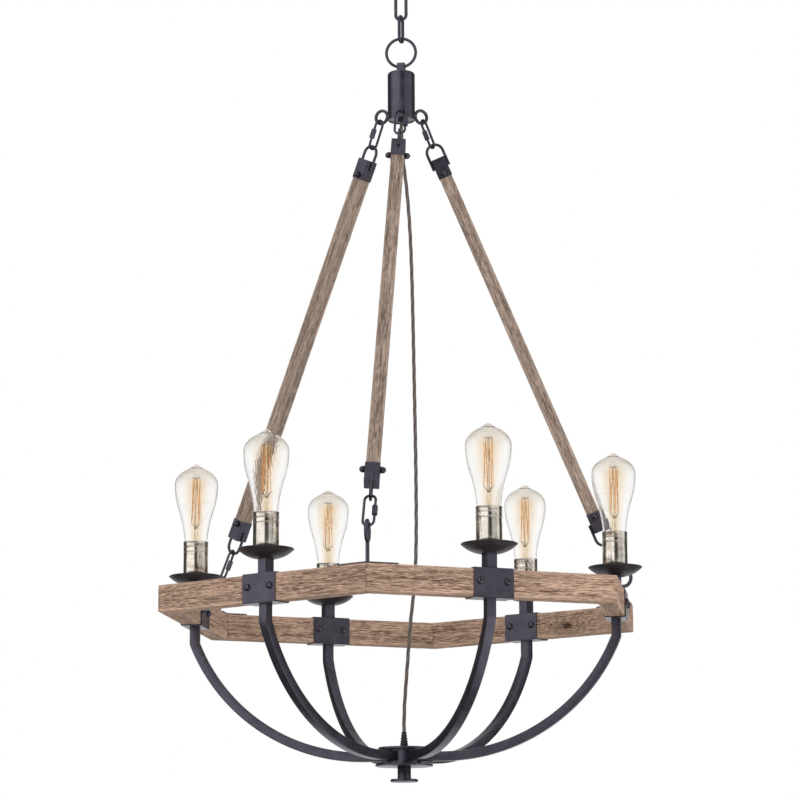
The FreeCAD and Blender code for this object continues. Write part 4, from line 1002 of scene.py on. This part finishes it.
def build_brackets():
    top, half = WRAP_GAP + WRAP_WALL, POST_SIDE / 2
    wrap = box_tube(BEAM_THICK + 2 * top, BEAM_HIGH + 2 * top, WRAP_WALL, -WRAP_LONG / 2, WRAP_LONG / 2,
                    WRAP_BEND)
    post = box_tube(POST_SIDE, POST_SIDE, POST_WALL, top - POST_SUNK, top + POST_HIGH, POST_BEND)
    # a small weld runs round the foot of the post
    weld = lathed([(half * 1.02, top - 0.2), (half + 1.3, top - 0.1), (half + 0.7, top + 0.7),
                   (half * 1.02, top + 1.3)], 4, closed=True)
    squared = turned("Z", 45) @ Matrix.Diagonal((math.sqrt(2), math.sqrt(2), 1, 1))
    bracket = joined([(wrap, shifted(0, 0, -BEAM_HIGH / 2) @ turned("X", 90)), post, (weld, squared)])
    steel_piece("beam_sleeves", all_round(bracket, RING_TOP), "ring_frame", "beam_brackets")
    out = BEAM_THICK / 2 + top
    level = RING_TOP + SCREW_RAISE - BEAM_HIGH / 2
    seats = []
    for azimuth in SIDES:
        for face, turn in ((out, 0), (-out, 180)):
            for side in (-1, 1):
                seat = on_ring(azimuth, RING_R, level) @ shifted(face, side * SCREW_APART / 2)
                seats.append(seat @ turned("Z", turn) @ turned("Y", 90))
    screws = domed_nuts(seats, SCREW_HEAD, SCREW_DOME, SCREW_SKIRT)
    finished("sleeve_screws", screws, bolt_black, "ring_frame", ["bracket_screws"])


build_brackets()


# ------------------------------------------------------------------ arms
# Square steel tube, bent on a former to one long arc that ends level at the hub. Each goes up through
# its beam into the post.
ARM_SIDE, ARM_R, ARM_RUN, ARM_BELOW, ARM_ROUND, ARM_RISE = 14.0, 275.5, 60.0, 237.3, 1.3, 10.0
HUB_DRUM = 50.0


def bent_tube_group():
    """Square tube with rounded edges along the host's own line."""
    tree, given, result = shape_group("bent_square_tube", "Side", "Edge")
    path = add(tree, "GeometryNodeMeshToCurve", {"Mesh": given[0]})
    square_wire = rounded_box(tree, given["Side"], given["Side"], given["Edge"], 4)
    tube = add(tree, "GeometryNodeCurveToMesh", {"Curve": path.outputs[0], "Profile Curve": square_wire,
                                                 "Fill Caps": True})
    return end_group(tree, given, result, tube.outputs[0])


BENT_TUBE = bent_tube_group()


def build_arms():
    middle = (ARM_RUN, ARM_R - ARM_BELOW)
    foot_turn = math.degrees(math.acos((RING_R - ARM_RUN) / ARM_R))
    bend = arc(middle, ARM_R, -90, -foot_turn, 56)
    route = [(HUB_DRUM / 2 - 0.5, -ARM_BELOW)] + bend
    route += [(RING_R, bend[-1][1] + 6), (RING_R, -BEAM_HIGH), (RING_R, ARM_RISE)]
    edges = [(k, k + 1) for k in range(len(route) - 1)]
    for number, azimuth in enumerate(SIDES, start=1):
        solid = bmesh.new()
        solid.from_mesh(grown(BENT_TUBE, host_mesh([(x, 0, z) for x, z in route], edges), black_metal,
                              Side=ARM_SIDE, Edge=ARM_ROUND))
        arm = placed(shaded(solid, 30), on_ring(azimuth, 0, RING_TOP))
        steel_piece(f"bent_arm_{number}", arm, "ring_frame", f"arm_{number}")


build_arms()


# ------------------------------------------------------------------ saucers
# Drip saucers spun from thin steel, nearly conical below with a rolled lip, in a darker bronze than the
# frame. Each lies on its post, and the neck of the lamp holder goes down through it.
SAUCER_WIDE, SAUCER_FLOOR, SAUCER_RISE, SAUCER_BELLY = 80.0, 14.0, 13.5, 46.0
SAUCER_WALL, SAUCER_BORE = 1.5, 4.9
SAUCER_Z = RING_TOP + WRAP_GAP + WRAP_WALL + POST_HIGH
SOCKET_Z = SAUCER_Z + SAUCER_WALL

bronze = surface("dark_bronze", sprayed((0.020, 0.015, 0.017), (0.052, 0.042, 0.046), 90.0, 1100.0, 0.3))


def build_saucers():
    outer, floor = SAUCER_WIDE / 2, SAUCER_FLOOR
    span = outer - floor
    chord = math.hypot(span, SAUCER_RISE)
    stand = math.sqrt(SAUCER_BELLY ** 2 - chord ** 2 / 4)
    centre = (floor + span / 2 - SAUCER_RISE / chord * stand, SAUCER_RISE / 2 + span / chord * stand)
    first = math.degrees(math.atan2(-centre[1], floor - centre[0]))
    last = math.degrees(math.atan2(SAUCER_RISE - centre[1], outer - centre[0]))
    under = arc(centre, SAUCER_BELLY, first, last, 16)
    over = arc(centre, SAUCER_BELLY - SAUCER_WALL, last, first, 16)
    (tip_r, tip_z), (lip_r, lip_z) = under[-1], over[0]
    under = [(SAUCER_BORE, 0.0), (floor - 0.5, 0.0)] + under[:-1] + [
        (tip_r + 0.05, tip_z - 0.1), ((tip_r + lip_r) / 2 + 0.1, (tip_z + lip_z) / 2 + 0.15)]
    section = [(radius, max(z, 0.0)) for radius, z in under]
    section += [(radius, max(z, SAUCER_WALL)) for radius, z in over] + [(SAUCER_BORE, SAUCER_WALL)]
    saucer = lathed(section, 96, 60, closed=True)
    finished("drip_saucers", all_round(saucer, SAUCER_Z), bronze, "ring_frame", ["saucers"])


build_saucers()


# ------------------------------------------------------------------ sockets
# A spun sleeve in brushed antique brass hides each lamp holder. Two beads are rolled into its upper
# third and its lip is turned outwards. Inside stand a glazed insulator and a threaded brass shell.
SOCKET_WIDE, SOCKET_WALL, SOCKET_HIGH = 37.2, 0.8, 64.3
BEAD, BEADS_DOWN = 0.9, (15.5, 8.0)
INSULATOR_WIDE, INSULATOR_HIGH, INSULATOR_FLOOR = 32.0, 52.0, 22.0
NECK_WIDE, NECK_DEEP = 9.6, 8.0
SHELL_OUTER, SHELL_HIGH, SHELL_ROWS = 30.0, 28.5, 64
THREAD_PITCH, THREAD_DEEP, THREAD_WALL, THREAD_AROUND = 3.6, 0.55, 0.6, 48
# how far over the saucer's floor each round foot rests on its curving side
SLEEVE_REST, HOLDER_REST = 1.12, 0.5


def brushed_brass(tree):
    """Antique brass: upright brush marks, and patina in slow patches."""
    around, height = add(tree, "ShaderNodeSeparateXYZ", {
        0: add(tree, "ShaderNodeUVMap", uv_map="wrap").outputs[0]}).outputs[:2]

    def stretched(turns, rise):
        return add(tree, "ShaderNodeCombineXYZ", {"X": maths(tree, "MULTIPLY", around, turns),
                                                  "Y": maths(tree, "MULTIPLY", height, rise)}).outputs[0]

    marks = mottle(tree, stretched(46.0, 0.35), 4.0, 4.0, 0.65)
    patch = mottle(tree, stretched(5.0, 0.12), 1.0, 2.0)
    tone = maths(tree, "ADD", maths(tree, "MULTIPLY", marks, 0.45), maths(tree, "MULTIPLY", patch, 0.55))
    bump = add(tree, "ShaderNodeBump", {"Height": marks, "Strength": 0.12, "Distance": 0.0002})
    return {"Base Color": ramped(tree, tone, [(0.36, (0.64, 0.53, 0.40)), (0.56, (0.99, 0.94, 0.86))]),
            "Roughness": spread(tree, marks, 0.3, 0.7, 0.10, 0.20), "Normal": bump.outputs[0]}


def clouded(scale, detail, dark, light, low=0.0, high=1.0, socket="Base Color"):
    """Looks that drift between two colours."""
    def looks(tree):
        cloud = mottle(tree, add(tree, "ShaderNodeTexCoord").outputs["Object"], scale, detail)
        return {socket: ramped(tree, cloud, [(low, dark), (high, light)])}
    return looks


antique = surface("antique_brass", brushed_brass, Metallic=1.0)
porcelain = surface("lamp_holder_glaze", clouded(90.0, 3.0, (0.60, 0.57, 0.50), (0.78, 0.76, 0.70)),
                    Roughness=0.25)
shell_metal = surface("shell_brass", clouded(160.0, 4.0, (0.50, 0.38, 0.20), (0.74, 0.60, 0.36)),
                      Roughness=0.3, Metallic=1.0)


def threaded(radius, high, rows, deep):
    """A thin shell with a rolled round thread that fades at both ends, its wall inside the radius."""
    solid = bmesh.new()
    rings = []
    for inset, order in ((0, range(rows + 1)), (THREAD_WALL, range(rows, -1, -1))):
        for row in order:
            z, fade = high * row / rows, min(1.0, row / 6, (rows - row) / 6)
            ring = []
            for step in range(THREAD_AROUND):
                turn = 2 * math.pi * step / THREAD_AROUND
                wave = 0.5 + 0.5 * math.cos(2 * math.pi * z / THREAD_PITCH - turn)
                reach = radius - deep * wave * fade - inset
                ring.append(solid.verts.new((reach * math.cos(turn), reach * math.sin(turn), z)))
            rings.append(ring)
    bridged(solid, rings, closed=True)
    return shaded(solid, 50)


def wrap_map(mesh, shift):
    """A map of how far round a turned piece each corner is, and how high up in millimetres."""
    layer = mesh.uv_layers.new(name="wrap")
    for polygon in mesh.polygons:
        corners = [(index, mesh.vertices[mesh.loops[index].vertex_index].co)
                   for index in polygon.loop_indices]
        angles = [math.atan2(place.y, place.x) / (2 * math.pi) for _, place in corners]
        seam = max(angles) - min(angles) > 0.5
        for (index, place), angle in zip(corners, angles):
            layer.data[index].uv = (angle + (seam and angle < 0) + shift * 0.37, place.z + shift)
    return mesh


def socket_cover():
    outer, inner = SOCKET_WIDE / 2, SOCKET_WIDE / 2 - SOCKET_WALL

    def bead(middle):
        return [(outer + BEAD * 0.8 * math.sin(math.pi * k / 8), middle + BEAD * (k / 4 - 1))
                for k in range(1, 8)]

    section = [(inner, SLEEVE_REST), (outer - 0.2, SLEEVE_REST), (outer, SLEEVE_REST + 0.2)]
    for middle in [SOCKET_HIGH - down for down in BEADS_DOWN]:
        section += [(outer, middle - BEAD - 0.5), (outer - 0.15, middle - BEAD)] + bead(middle)
        section += [(outer - 0.15, middle + BEAD), (outer, middle + BEAD + 0.5)]
    section += [(outer, SOCKET_HIGH - 2 * BEAD - 0.3)] + bead(SOCKET_HIGH - BEAD)
    return lathed(section + [(outer - 0.25, SOCKET_HIGH), (inner, SOCKET_HIGH)], 96, 50, closed=True)


def build_sockets():
    covers = [(wrap_map(socket_cover(), math.radians(azimuth)), on_ring(azimuth, RING_R, SOCKET_Z))
              for azimuth in SIDES]
    finished("socket_covers", joined(covers), antique, "ring_frame", ["socket_sleeves"])
    neck, body, bore, high = NECK_WIDE / 2, INSULATOR_WIDE / 2, SHELL_OUTER / 2 + 0.1, INSULATOR_HIGH
    holder = lathed([(0, -NECK_DEEP), (neck - 0.4, -NECK_DEEP), (neck, 0.4 - NECK_DEEP), (neck, HOLDER_REST),
                     (body - 0.8, HOLDER_REST), (body, HOLDER_REST + 0.8), (body, high - 1.2),
                     (body - 0.35, high - 0.35), (body - 0.5, high), (bore, high),
                     (bore, INSULATOR_FLOOR), (0, INSULATOR_FLOOR)], 64, 40)
    finished("lamp_holders", all_round(holder, SOCKET_Z), porcelain, "ring_frame",
             ["socket_insulators"])
    shell = threaded(SHELL_OUTER / 2, SHELL_HIGH, SHELL_ROWS, THREAD_DEEP)
    finished("holder_shells", all_round(shell, SOCKET_Z + INSULATOR_FLOOR), shell_metal, "ring_frame",
             ["screw_shells"])


build_sockets()


# ------------------------------------------------------------------ bulbs
# Old fashioned lamps: a blown envelope with a faint amber tint, deepened by a painted warm glow where it is
# seen face on, drawn out to a nub at its tip. Inside, a glass stem carries wire supports, and fine filaments
# run up and down between them and glow.
BULB_HIGH, BULB_WIDE, BULB_SHOULDER, BULB_WALL = 118.8, 65.6, 32.0, 0.9
BULB_NECK, BULB_BELLY, BULB_SIDE, BULB_CROWN = 190.0, 120.0, 22.0, 27.0
# the nub, drawn out of the crown: radius, and how far under the tip
NUB_DRAWN = [(11.0, 6.3), (8.6, 4.8), (6.5, 3.2), (4.7, 1.6), (3.1, 0.55), (1.6, 0.12), (0.0, 0.0)]
NUB_BLEND = 2.2
BULB_MOUTH, BULB_BASE, BASE_HIGH, CONTACT = 34.4, 25.6, 26.0, 4.0
BASE_ROWS, BASE_THREAD, BASE_PLAIN = 48, 0.7, 3.0
BULB_SEAT = INSULATOR_FLOOR + 0.3
GLASS_FOOT = BULB_SEAT + CONTACT + BASE_HIGH
MOUTH = SOCKET_HIGH - GLASS_FOOT
STEM_HIGH = 34.0
FILAMENT_LOW, FILAMENT_HIGH, FILAMENT_SPREAD, FILAMENT_LOOPS = 42.0, 110.0, 7.6, 7
FILAMENT_THICK, SUPPORT_THICK = 0.66, 0.5
DOME_LOW, DOME_HIGH = 0.036, 0.006
# tint of each wall from face on to edge on: the warm face-on tint is partly painted glow of the lamp, and the
# deep grey edge on is painted shade
GLASS_TINT_GLOW_AND_SHADE = [(0.0, (0.92, 0.82, 0.68)), (0.04, (0.945, 0.87, 0.77)), (0.13, (0.99, 0.98, 0.965)),
              (0.50, (1.0, 0.998, 0.995)), (0.72, (0.95, 0.935, 0.92)), (0.90, (0.50, 0.47, 0.45))]


def turn_points(centre, radius, first, last, steps):
    """Arc points from one point's direction to another's, seen from the centre."""
    start, end = [math.degrees(math.atan2(z - centre[1], r - centre[0])) for r, z in (first, last)]
    end += 360 * round((start - end) / 360)
    return arc(centre, radius, start, end, steps)


def envelope():
    """The blown glass, all one wall: neck, belly, side and crown run on into each other as arcs."""
    wide, tip, foot = BULB_WIDE / 2, MOUTH + BULB_HIGH, BULB_BASE / 2
    widest_z = tip - BULB_SHOULDER
    mouth, widest = (BULB_MOUTH / 2, MOUTH), (wide, widest_z)
    side_c, belly_c = (wide - BULB_SIDE, widest_z), (wide - BULB_BELLY, widest_z)
    crown = ((wide - BULB_SIDE) ** 2 + BULB_CROWN ** 2 - BULB_SIDE ** 2) / (2 * (BULB_CROWN - BULB_SIDE))
    crown_c = (0.0, widest_z + BULB_CROWN - crown)
    shoulder = (2 * side_c[0] - crown_c[0], 2 * side_c[1] - crown_c[1])
    # the neck's centre, where its arc passes the mouth and touches the belly
    span, centres = math.dist(mouth, belly_c), BULB_BELLY + BULB_NECK
    heading = math.atan2(mouth[1] - belly_c[1], mouth[0] - belly_c[0])
    heading += math.acos((span ** 2 + centres ** 2 - BULB_NECK ** 2) / (2 * span * centres))
    neck_c = (belly_c[0] + math.cos(heading) * centres, belly_c[1] + math.sin(heading) * centres)
    drawn_r = NUB_DRAWN[0][0] + NUB_BLEND
    drawn = (drawn_r, crown_c[1] + math.sqrt(crown ** 2 - drawn_r ** 2))
    outside = [(foot, 0.0)] + turn_points(neck_c, BULB_NECK, mouth, belly_c, 10)
    outside += turn_points(belly_c, BULB_BELLY, neck_c, widest, 14)[1:]
    outside += turn_points(side_c, BULB_SIDE, widest, shoulder, 10)[1:]
    outside += turn_points(crown_c, crown, shoulder, drawn, 12)[1:]
    outside += [(radius, tip - under) for radius, under in NUB_DRAWN]
    inside = [(max(radius - BULB_WALL, 0.0), tip - under - BULB_WALL) for radius, under in NUB_DRAWN[::-1]]
    drawn_in = (drawn[0] - BULB_WALL, drawn[1] - BULB_WALL)
    inside += turn_points(crown_c, crown - BULB_WALL, drawn_in, shoulder, 12)
    inside += turn_points(side_c, BULB_SIDE - BULB_WALL, shoulder, widest, 10)[1:]
    inside += turn_points(belly_c, BULB_BELLY - BULB_WALL, widest, neck_c, 14)[1:]
    inside += turn_points(neck_c, BULB_NECK + BULB_WALL, belly_c, mouth, 10)[1:]
    return lathed(outside + inside + [(foot - BULB_WALL, 0.0)], 72, 70, closed=True)


def glass_with_painted_glow_and_shade(tree):
    """Clear glass. Where it is seen face on, its middle is painted with the lamp's warm glow, where it is
    seen edge on its wall is painted in deep grey shade, and it turns a faint brown towards the tip."""
    edge = add(tree, "ShaderNodeLayerWeight", {"Blend": 0.5})
    place = add(tree, "ShaderNodeTexCoord").outputs["Object"]
    height = add(tree, "ShaderNodeSeparateXYZ", {0: place}).outputs["Z"]
    tip = (SOCKET_Z + GLASS_FOOT + MOUTH + BULB_HIGH) * MM
    dome = spread(tree, height, tip - DOME_LOW, tip - DOME_HIGH, 0.0, 1.0, "SMOOTHSTEP")
    bloom = blend(tree, dome, (1, 1, 1, 1), (0.83, 0.79, 0.73, 1))
    # the facing ramp paints the lamp's warm glow where the wall faces the view and deep grey shade where it
    # is edge on
    tint = blend(tree, 1.0, ramped(tree, edge.outputs["Facing"], GLASS_TINT_GLOW_AND_SHADE), bloom, "MULTIPLY")
    # faint upright draw lines from the blowing
    lines = add(tree, "ShaderNodeVectorMath", {0: place, 1: (420.0, 420.0, 9.0)},
                operation="MULTIPLY").outputs[0]
    bump = add(tree, "ShaderNodeBump", {"Height": mottle(tree, lines, 1.0, 1.0), "Strength": 0.2,
                                        "Distance": 0.0004})
    return {"Base Color": tint, "Normal": bump.outputs[0]}


glass = surface("glass_with_painted_glow_and_shade", glass_with_painted_glow_and_shade, Roughness=0.0, Transmission_Weight=1.0, IOR=1.45)
stem_glass = surface("stem_glass", Base_Color=(0.93, 0.95, 0.93, 1), Roughness=0.04, Transmission_Weight=1.0,
                     IOR=1.5)
glow = surface("glowing_filament",
               clouded(70.0, 2.0, (0.40, 0.19, 0.06), (0.66, 0.36, 0.14), 0.35, 0.65, "Emission Color"),
               Base_Color=(0.10, 0.05, 0.02, 1), Roughness=0.5, Emission_Strength=1.1)
support = surface("filament_support", clouded(300.0, 2.0, (0.22, 0.16, 0.11), (0.42, 0.32, 0.22)),
                  Roughness=0.4, Metallic=0.8)


def bulb_base():
    """Screw base with its thread, and the contact below."""
    radius, top = BULB_BASE / 2, CONTACT + BASE_HIGH
    shell = threaded(radius, BASE_HIGH - BASE_PLAIN, BASE_ROWS, BASE_THREAD)
    body = lathed([(0, 0), (CONTACT * 0.9, 0), (CONTACT, 0.5), (radius * 0.62, CONTACT * 0.62),
                   (radius - 0.5, CONTACT), (radius - 0.35, CONTACT + 3.2), (radius - 1.4, CONTACT + 3.4),
                   (radius - 1.4, top), (0, top)], 48, 40)
    return joined([(shell, shifted(0, 0, CONTACT + BASE_PLAIN)), body])


def wire(points, thick, sides):
    """Thin wire inside a lamp. Its rings start across a way that no run of it follows."""
    return rod(points, thick, sides, (1, 0.3, 0.2))


def lamp_insides(turn):
    """The stem, its supports and the filament of one bulb, measured up from the glass's foot."""
    high, top = FILAMENT_HIGH, STEM_HIGH
    stem = lathed([(0, 0.05), (8.5, 0.05), (7.0, 3.0), (4.4, 8.0), (3.3, 16.0), (2.7, top - 4.0),
                   (3.6, top - 1.5), (3.4, top), (2.2, top + 1.6), (1.3, top + 4.0), (1.2, high - 3.0),
                   (2.1, high - 1.6), (2.1, high + 0.3), (0.9, high + 1.3), (0, high + 1.5)], 28, 60)
    hooks, supports = [], []
    for number in range(FILAMENT_LOOPS):
        # a lower hook, and an upper one closer in and half a step on
        for step, level, start, past, share in ((0, FILAMENT_LOW, top - 1.0, -0.8, 1.0),
                                                (180, high, high - 0.6, 0.8, 0.8)):
            angle = math.radians(turn + (360 * number + step) / FILAMENT_LOOPS)
            side = Vector((math.cos(angle), math.sin(angle), 0))
            out = side * FILAMENT_SPREAD * share
            post = [side * 0.8 + Vector((0, 0, start)), out * 0.55 + Vector((0, 0, (start + level) / 2)),
                    out + Vector((0, 0, level + past))]
            supports.append(wire(post, SUPPORT_THICK, 6))
            hooks.append(out + Vector((0, 0, level)))
    strand = []
    for first, second in zip(hooks, hooks[1:]):
        for step in range(14):
            point = first.lerp(second, step / 14)
            bow = 1 - 0.10 * math.sin(math.pi * step / 14)
            strand.append((point.x * bow, point.y * bow, point.z))
    filament = wire(strand + [hooks[-1]], FILAMENT_THICK, 8)
    for end in (hooks[0], hooks[-1]):
        lead = [end, (end.x * 0.7, end.y * 0.7, top + 2.0), (end.x * 0.25, end.y * 0.25, top - 2.5)]
        supports.append(wire(lead, SUPPORT_THICK, 6))
    return stem, joined(supports), filament


def build_bulbs():
    clear, base = envelope(), bulb_base()
    for number, azimuth in enumerate(SIDES, start=1):
        body = f"bulb_{number}"
        glass_place = on_ring(azimuth, RING_R, SOCKET_Z + GLASS_FOOT)
        finished(f"bulb_envelope_{number}", placed(clear.copy(), glass_place), glass, body,
                 [f"bulb_glass_{number}"])
        metal = placed(base.copy(), on_ring(azimuth, RING_R, SOCKET_Z + BULB_SEAT))
        finished(f"bulb_screw_base_{number}", metal, shell_metal, body, [f"bulb_base_{number}"])
        # each bulb was screwed home to its own turn
        stem, posts, filament = lamp_insides(17 * number)
        for label, mesh, material, slot in (("stem", stem, stem_glass, "bulb_glass"),
                                            ("supports", posts, support, "bulb_base"),
                                            ("filament", filament, glow, "bulb_base")):
            finished(f"bulb_{label}_{number}", placed(mesh, glass_place), material, body)


build_bulbs()


# ------------------------------------------------------------------ hub
# Two turned steel discs with a drum between them take the arms' ends. A short finial screws in below,
# and a ribbed rubber-like grip above holds the flex where it goes in.
HUB_LOW_WIDE, HUB_LOW_THICK, HUB_TOP_WIDE, HUB_TOP_THICK = 85.0, 3.0, 76.5, 3.6
HUB_FOOT, HUB_GAP = -1186.6, 21.2
FINIAL_STEM, FINIAL_DROP, FINIAL_FLANGE, FINIAL_THICK = 19.8, 18.6, 40.6, 4.2
GRIP_BASE, GRIP_TIP, GRIP_HIGH, GRIP_GROOVE, GRIP_RIBS = 13.0, 8.0, 22.4, 0.8, 5

grip_black = surface("grip_black", sprayed((0.020, 0.020, 0.024), (0.050, 0.048, 0.055), 80.0, 2000.0, 0.1))


def disc_edge(radius, low, high, soft=0.7, near=0.2):
    """The section of a turned disc's rim, eased at both corners."""
    return [(radius - soft, low), (radius - near, low + near), (radius, low + soft),
            (radius, high - soft), (radius - near, high - near), (radius - soft, high)]


def build_hub():
    drum, low, high = HUB_DRUM / 2, HUB_LOW_THICK, HUB_LOW_THICK + HUB_GAP
    top = high + HUB_TOP_THICK
    # a fine groove is turned in the top, round the grip
    spool = lathed([(0, 0), *disc_edge(HUB_LOW_WIDE / 2, 0, low), (drum, low), (drum, high),
                    *disc_edge(HUB_TOP_WIDE / 2, high, top), (12.5, top), (12.2, top - 0.25),
                    (11.6, top - 0.25), (11.3, top), (0, top)], 96, 40)
    steel_piece("hub_discs", placed(spool, shifted(0, 0, HUB_FOOT)), "ring_frame", "hub_spool")
    stem, fall = FINIAL_STEM / 2, FINIAL_DROP
    foot = -fall - FINIAL_THICK
    finial = lathed([(0, foot), *disc_edge(FINIAL_FLANGE / 2, foot, -fall, 1.0, 0.3), (stem + 0.8, -fall),
                     (stem + 0.2, -fall + 0.3), (stem, -fall + 1.0), (stem, -0.4), (stem - 0.3, 0.0), (0, 0)],
                    72, 40)
    steel_piece("turned_finial", placed(finial, shifted(0, 0, HUB_FOOT)), "ring_frame", "finial")
    steps = 2 * GRIP_RIBS + 1
    pitch = GRIP_HIGH / steps
    section = [(0, 0)]
    for step in range(steps):
        taper = GRIP_BASE / 2 - (GRIP_BASE - GRIP_TIP) / 2 * step / (steps - 1)
        radius, start, end = taper - GRIP_GROOVE * (step % 2), pitch * step, pitch * (step + 1)
        section += [(radius - 0.15, start + 0.02), (radius, start + 0.25), (radius, end - 0.25),
                    (radius - 0.15, end - 0.02)]
    section += [(CORD_THICK / 2 + 0.1, GRIP_HIGH), (CORD_THICK / 2 - 0.3, GRIP_HIGH - 1.2),
                (0, GRIP_HIGH - 1.2)]
    grip = placed(lathed(section, 48, 50), shifted(0, 0, HUB_FOOT + top))
    finished("flex_grip", grip, grip_black, "ring_frame", ["cord_grip"])


build_hub()
